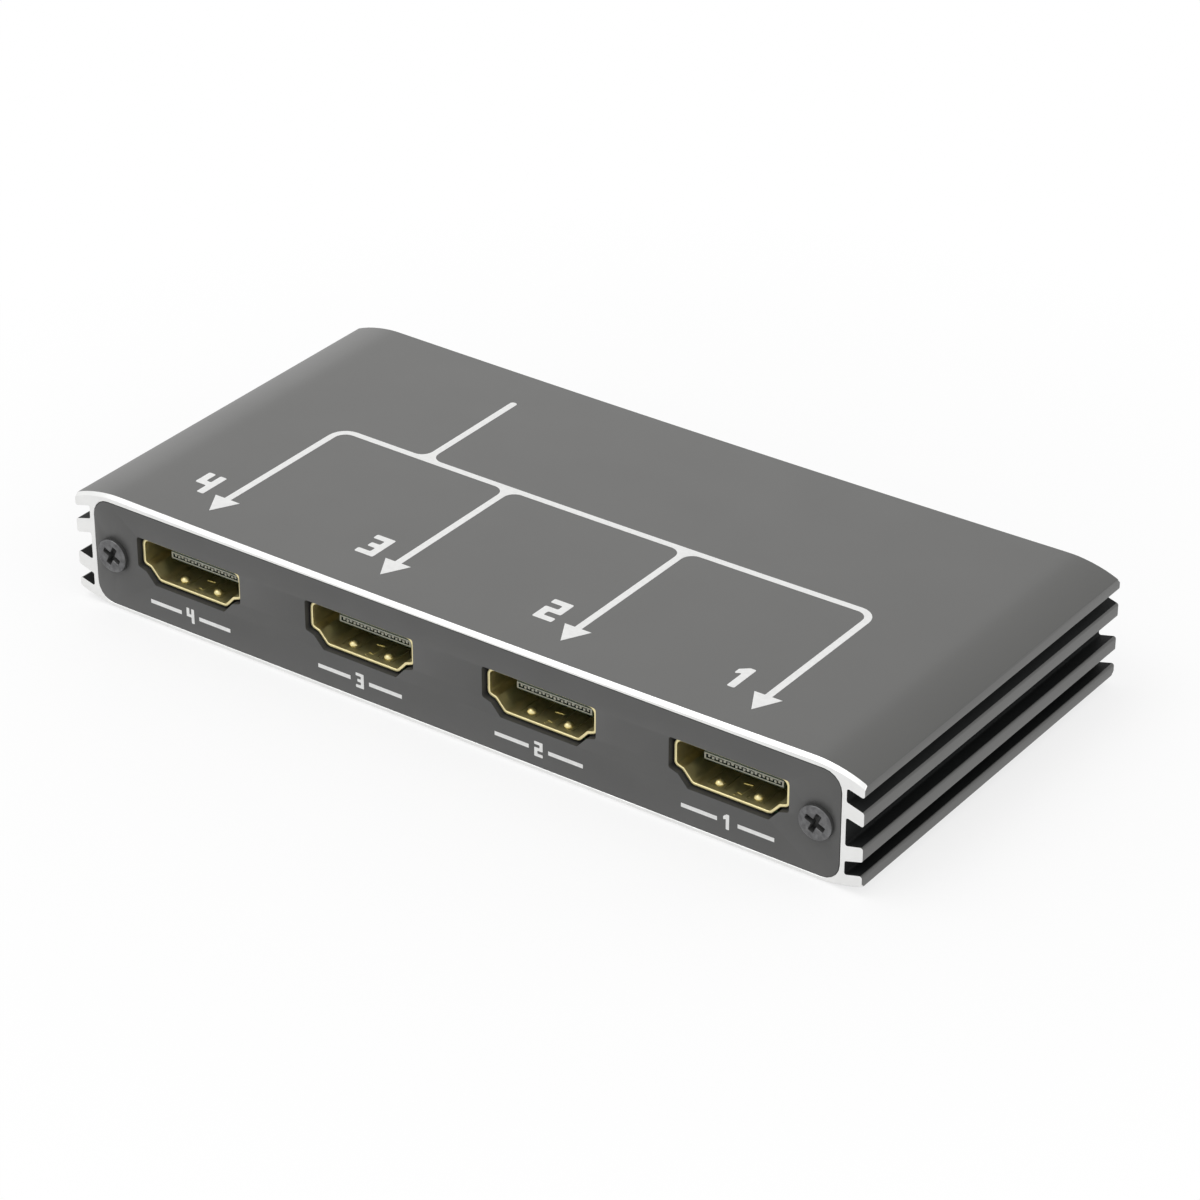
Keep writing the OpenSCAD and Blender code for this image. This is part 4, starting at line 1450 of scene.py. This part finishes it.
def ring_plate(bm, x, z, r, line, ink):
    """A ring of ink."""
    one = bmesh.new()
    outer = ring(one, circle(x, z, r, SMALL_SIDES), 0)
    inner = ring(one, circle(x, z, r - line, SMALL_SIDES), 0)
    join(one, outer, inner)
    one.transform(Matrix.Rotation(-math.pi / 2, 4, "X"))
    thicken(one, ink)
    add(bm, one, Matrix.Identity(4))


# Strokes across and up the grid of a numeral, and its corner radius as a share of a stroke
GRID_W = 3
GRID_H = 5
STROKE_R = 0.2
# Numerals in square strokes: (right, up) corners on the grid
NUMERALS = {
    1: ((1, 0), (2.1, 0), (2.1, 5), (1.2, 5), (0.1, 4.1), (0.1, 2.9), (1, 3.5)),
    2: (
        (0, 0), (3, 0), (3, 1), (1.1, 1), (1.1, 2), (3, 2),
        (3, 5), (0, 5), (0, 4), (1.9, 4), (1.9, 3), (0, 3),
    ),
    3: (
        (0, 0), (3, 0), (3, 5), (0, 5), (0, 4), (1.9, 4),
        (1.9, 3), (0.6, 3), (0.6, 2), (1.9, 2), (1.9, 1), (0, 1),
    ),
    4: (
        (1.9, 0), (3, 0), (3, 5), (1.9, 5), (1.9, 3), (1.1, 3), (1.1, 5), (0, 5), (0, 2), (1.9, 2),
    ),
}


def numeral(bm, count, x, z, height, ink):
    """A numeral centred at a place."""
    stroke = height / GRID_H
    corners = [
        (x + (right - GRID_W / 2) * stroke, z + (up - GRID_H / 2) * stroke, STROKE_R * stroke)
        for right, up in NUMERALS[count]
    ]
    plate(bm, rounded(corners, 2), ink)


# Faces that carry print: (right, up, out) axes as matrix columns
FRONT_FACE = Matrix(((1, 0, 0, 0), (0, 0, -1, 0), (0, 1, 0, 0), (0, 0, 0, 1)))
REAR_FACE = Matrix(((-1, 0, 0, 0), (0, 0, 1, 0), (0, 1, 0, 0), (0, 0, 0, 1)))
# Shares of a numeral's height: its half width with the clear space beside it, and half a triangle
CLEAR_SHARE = 0.7
TRIANGLE_SHARE = 0.48


def side_bars(bm, x, z, d):
    """A bar on each side of a mark."""
    gap = d.numeral * CLEAR_SHARE
    for side in (-1, 1):
        left, right = sorted((x + side * gap, x + side * d.label_w / 2))
        bar(bm, (left, z - d.bar / 2), (right, z + d.bar / 2), d.ink)


class SPLITTER_OT_front_print(bpy.types.Operator):
    """Print the numerals of the outputs on the front panel"""

    bl_idname = "splitter.front_print"
    bl_label = "Front print"

    def execute(self, context):
        d, s = context.scene.splitter_prints, context.scene.splitter_sockets
        bm = bmesh.new()
        for count, name in enumerate(OUTPUTS, 1):
            x, _ = socket_middle(name, s)
            numeral(bm, count, x, d.label_z, d.numeral, d.ink)
            side_bars(bm, x, d.label_z, d)
        bm.transform(Matrix.Translation((0, FRONT_Y, 0)) @ FRONT_FACE)
        finished("front_numerals", bm, ("ink",), BOX, "black_panel")
        return {"FINISHED"}


class SPLITTER_OT_rear_print(bpy.types.Operator):
    """Print the marks of the input, the switch and the jack at the rear"""

    bl_idname = "splitter.rear_print"
    bl_label = "Rear print"

    def execute(self, context):
        d, s = context.scene.splitter_prints, context.scene.splitter_sockets
        bm = bmesh.new()
        self.input_mark(bm, -socket_middle("input", s)[0], d)
        self.polarity_mark(bm, -middle("power_jack_body").x, d)
        bm.transform(Matrix.Translation((0, REAR_Y, 0)) @ REAR_FACE)
        finished("rear_marks", bm, ("ink",), BOX, "black_panel")

        low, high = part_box("switch_cover")
        bm = bmesh.new()
        size, inset = 0.95 * MM, 0.85 * MM
        for count, (x, _) in enumerate(lever_rests(), 1):
            numeral(bm, count, -x, low.z + inset, size, d.ink)
        triangle(bm, inset - high.x, high.z - inset, size / 2, d.ink)
        bm.transform(Matrix.Translation((0, high.y, 0)) @ REAR_FACE)
        finished("switch_numerals", bm, ("ink",), BOX, "switch_red")
        return {"FINISHED"}

    def input_mark(self, bm, x, d):
        """A triangle that points at the input socket, between two bars."""
        triangle(bm, x, d.label_z, d.numeral * TRIANGLE_SHARE, d.ink)
        side_bars(bm, x, d.label_z, d)

    def polarity_mark(self, bm, x, d):
        """The usual sign of a jack whose pin is the positive pole."""
        z, line = d.label_z, 0.2 * MM
        r, reach = 0.75 * MM, 2.9 * MM
        half, dot_r = 0.4 * MM, 0.3 * MM
        ring_plate(bm, x, z, r, line, d.ink)
        plate(bm, circle(x, z, dot_r, DOT_SIDES), d.ink)
        for side in (-1, 1):
            ring_plate(bm, x + side * reach, z, r, line, d.ink)
            left, right = sorted((x + side * r, x + side * (reach - r)))
            bar(bm, (left, z - line / 2), (right, z + line / 2), d.ink)
            sign = x + side * reach
            bar(bm, (sign - half, z - line / 2), (sign + half, z + line / 2), d.ink)
        sign = x + reach
        bar(bm, (sign - line / 2, z + line / 2), (sign + line / 2, z + half), d.ink)
        bar(bm, (sign - line / 2, z - half), (sign + line / 2, z - line / 2), d.ink)


class SPLITTER_OT_top_print(bpy.types.Operator):
    """Print a map of the sockets on the top"""

    bl_idname = "splitter.top_print"
    bl_label = "Top print"

    def execute(self, context):
        scene = context.scene
        d, s, h = scene.splitter_prints, scene.splitter_sockets, scene.splitter_housing
        ports = sorted(socket_middle(name, s)[0] for name in OUTPUTS)
        source = socket_middle("input", s)[0]
        bm = bmesh.new()
        plate(bm, rounded(self.map_corners(ports, source, d), 6), d.ink)
        aside, numeral_y = d.arrow * 1.25, FRONT_Y + 9 * MM
        for count, name in enumerate(OUTPUTS, 1):
            x, _ = socket_middle(name, s)
            numeral(bm, count, x - aside, numeral_y, d.map_numeral, d.ink)
        for k in range(1, TOP_STEPS):
            x = HOUSING_LOW.x + (HOUSING_HIGH.x - HOUSING_LOW.x) * k / TOP_STEPS
            slice_mesh(bm, (x, 0, 0), (1, 0, 0))
        for vert in bm.verts:
            vert.co.z += top_z(h, vert.co.x)
        finished("socket_map", bm, ("ink",), BOX, "black_housing")
        return {"FINISHED"}

    def map_corners(self, ports, source, d):
        """One line from the input that parts into an arrow to each output."""
        half, head = d.map_line / 2, d.arrow / 2
        bus, start = 2 * MM, REAR_Y - 7 * MM
        neck, tip = FRONT_Y + 7.5 * MM, FRONT_Y + 4.2 * MM
        bend, inner, end_r = 2.4 * MM, 1.5 * MM, half * 0.9
        made = []
        for x in ports:
            first, last = x == ports[0], x == ports[-1]
            left = [] if first else [(x - half, bus - half, inner)]
            right = [] if last else [(x + half, bus - half, inner)]
            made += [
                *left, (x - half, neck, 0), (x - head, neck, 0), (x, tip, 0), (x + head, neck, 0),
                (x + half, neck, 0), *right,
            ]
        made += [
            (ports[-1] + half, bus + half, bend),
            (source + half, bus + half, inner),
            (source + half, start, end_r),
            (source - half, start, end_r),
            (source - half, bus + half, inner),
            (ports[0] - half, bus + half, bend),
        ]
        return made


# Parts inside the housing


INNER_FINISHES = {
    "main_board": "board",
    "insulating_sheet": "sheet",
    "splitter_chip": "epoxy",
    "heat_sink_tape": "tape",
    "heat_sink": "sink",
    "line_driver_chips": "epoxy",
    "memory_chip": "epoxy",
    "regulator_chips": "epoxy",
    "power_inductors": "ferrite",
    "electrolytic_capacitors": "can",
    "ceramic_capacitors": "ceramic",
    "crystal": "can",
}


class SPLITTER_OT_inner_parts(bpy.types.Operator):
    """Give the board and its parts their finishes"""

    bl_idname = "splitter.inner_parts"
    bl_label = "Inner parts"

    def execute(self, context):
        for node, key in INNER_FINISHES.items():
            dress(node, key)
        return {"FINISHED"}


# Stage

# Places of the lamps, which all face the object, and their width
KEY_PLACE = (-0.3, -0.3, 0.85)
FILL_PLACE = (0.75, 0.0, 0.38)
RIM_PLACE = (-0.75, 0.85, 0.4)
LAMP_SIZE = 0.7


class SPLITTER_OT_stage(bpy.types.Operator):
    """Set the camera, the lights, the white room and the floor"""

    bl_idname = "splitter.stage"
    bl_label = "Stage"

    def execute(self, context):
        scene, t = context.scene, context.scene.splitter_stage
        scene.view_settings.view_transform = "Standard"
        self.place_camera(scene, t)
        self.place_lamp("key_light", KEY_PLACE, t.key_power)
        self.place_lamp("fill_light", FILL_PLACE, t.fill_power)
        self.place_lamp("rim_light", RIM_PLACE, t.rim_power)
        self.make_room(scene, t)
        self.make_floor(scene, t)
        return {"FINISHED"}

    def place_camera(self, scene, t):
        """The camera at the photograph's viewing angle."""
        data = bpy.data.cameras.new("photo_camera")
        data.lens = t.lens
        data.clip_start, data.clip_end = 0.01, 20
        camera = bpy.data.objects.new("photo_camera", data)
        level, rise = math.cos(t.elevation), math.sin(t.elevation)
        back = Vector((math.sin(t.azimuth) * level, -math.cos(t.azimuth) * level, rise))
        camera.location = t.camera_place
        camera.rotation_euler = (-back).to_track_quat("-Z", "Y").to_euler()
        scene.collection.objects.link(camera)
        scene.camera = camera

    def place_lamp(self, name, place, watts):
        """A soft lamp that faces the object."""
        data = bpy.data.lights.new(name, "AREA")
        data.size = LAMP_SIZE
        data.energy = watts
        lamp = bpy.data.objects.new(name, data)
        lamp.location = place
        lamp.rotation_euler = (-Vector(place)).to_track_quat("-Z", "Y").to_euler()
        bpy.context.scene.collection.objects.link(lamp)

    def seen(self, nodes, links):
        """1 for rays that show the background: camera, glossy and transmission rays."""
        rays = nodes.new("ShaderNodeLightPath").outputs
        first = nodes.new("ShaderNodeMath")
        first.operation = "MAXIMUM"
        links.new(rays["Is Camera Ray"], first.inputs[0])
        links.new(rays["Is Glossy Ray"], first.inputs[1])
        second = nodes.new("ShaderNodeMath")
        second.operation = "MAXIMUM"
        links.new(first.outputs[0], second.inputs[0])
        links.new(rays["Is Transmission Ray"], second.inputs[1])
        return second.outputs[0]

    def make_room(self, scene, t):
        """A white room that lights the object from all sides."""
        world = bpy.data.worlds.new("white_room")
        world.use_nodes = True
        nodes, links = world.node_tree.nodes, world.node_tree.links
        light = nodes["Background"]
        light.inputs["Color"].default_value = (1, 1, 1, 1)
        light.inputs["Strength"].default_value = t.sky
        white = nodes.new("ShaderNodeBackground")
        white.inputs["Color"].default_value = (1, 1, 1, 1)
        mix = nodes.new("ShaderNodeMixShader")
        links.new(self.seen(nodes, links), mix.inputs["Fac"])
        links.new(light.outputs[0], mix.inputs[1])
        links.new(white.outputs[0], mix.inputs[2])
        links.new(mix.outputs[0], nodes["World Output"].inputs["Surface"])
        scene.world = world

    def make_floor(self, scene, t):
        """The floor under the object."""
        bm = bmesh.new()
        bmesh.ops.create_grid(bm, x_segments=1, y_segments=1, size=2)
        mesh = bpy.data.meshes.new("floor")
        bm.to_mesh(mesh)
        bm.free()
        floor = bpy.data.objects.new("floor", mesh)
        scene.collection.objects.link(floor)
        mesh.materials.append(self.floor_finish(t))

    def floor_finish(self, t):
        """White that takes a soft shadow near the object and is plain white further out."""
        material = bpy.data.materials.new("floor_white")
        material.use_nodes = True
        nodes, links = material.node_tree.nodes, material.node_tree.links
        nodes.remove(nodes["Principled BSDF"])
        matt = nodes.new("ShaderNodeBsdfDiffuse")
        matt.inputs["Color"].default_value = (*t.floor, 1)
        white = nodes.new("ShaderNodeEmission")
        distance = nodes.new("ShaderNodeVectorMath")
        distance.operation = "LENGTH"
        links.new(nodes.new("ShaderNodeTexCoord").outputs["Object"], distance.inputs[0])
        fade = nodes.new("ShaderNodeMapRange")
        fade.inputs["From Min"].default_value = HOUSING_HIGH.x
        fade.inputs["From Max"].default_value = t.fade
        fade.inputs["To Min"].default_value = t.floor_near
        fade.inputs["To Max"].default_value = 1
        links.new(distance.outputs["Value"], fade.inputs["Value"])
        amount = nodes.new("ShaderNodeMath")
        amount.operation = "MULTIPLY"
        links.new(fade.outputs[0], amount.inputs[0])
        links.new(self.seen(nodes, links), amount.inputs[1])
        mix = nodes.new("ShaderNodeMixShader")
        links.new(amount.outputs[0], mix.inputs["Fac"])
        links.new(matt.outputs[0], mix.inputs[1])
        links.new(white.outputs[0], mix.inputs[2])
        links.new(mix.outputs[0], nodes["Material Output"].inputs["Surface"])
        return material


# Sidebar and registration


STEPS = (
    SPLITTER_OT_stage,
    SPLITTER_OT_housing,
    SPLITTER_OT_panels,
    SPLITTER_OT_screws,
    SPLITTER_OT_shells,
    SPLITTER_OT_insulators,
    SPLITTER_OT_power_jack,
    SPLITTER_OT_setting_switch,
    SPLITTER_OT_power_light,
    SPLITTER_OT_front_print,
    SPLITTER_OT_rear_print,
    SPLITTER_OT_top_print,
    SPLITTER_OT_inner_parts,
)


class SPLITTER_PT_sidebar(bpy.types.Panel):
    """Lists the pieces of the splitter"""

    bl_idname = "SPLITTER_PT_sidebar"
    bl_label = "Video Splitter"
    bl_space_type = "VIEW_3D"
    bl_region_type = "UI"
    bl_category = "Splitter"

    def draw(self, context):
        for step in STEPS:
            self.layout.operator(step.bl_idname)


def register():
    """Registers the classes and puts the settings on the scene."""
    for made in (*GROUPS.values(), *STEPS, SPLITTER_PT_sidebar):
        bpy.utils.register_class(made)
    for name, group in GROUPS.items():
        setattr(bpy.types.Scene, name, bpy.props.PointerProperty(type=group))


def unregister():
    """Takes the settings off the scene and the classes away."""
    for name in GROUPS:
        delattr(bpy.types.Scene, name)
    for made in (SPLITTER_PT_sidebar, *reversed(STEPS), *reversed(GROUPS.values())):
        bpy.utils.unregister_class(made)


def main():
    """Builds all pieces in order."""
    register()
    bpy.ops.splitter.stage()
    bpy.ops.splitter.housing()
    bpy.ops.splitter.panels()
    bpy.ops.splitter.screws()
    bpy.ops.splitter.shells()
    bpy.ops.splitter.insulators()
    bpy.ops.splitter.power_jack()
    bpy.ops.splitter.setting_switch()
    bpy.ops.splitter.power_light()
    bpy.ops.splitter.front_print()
    bpy.ops.splitter.rear_print()
    bpy.ops.splitter.top_print()
    bpy.ops.splitter.inner_parts()


if __name__ == "__main__":
    main()
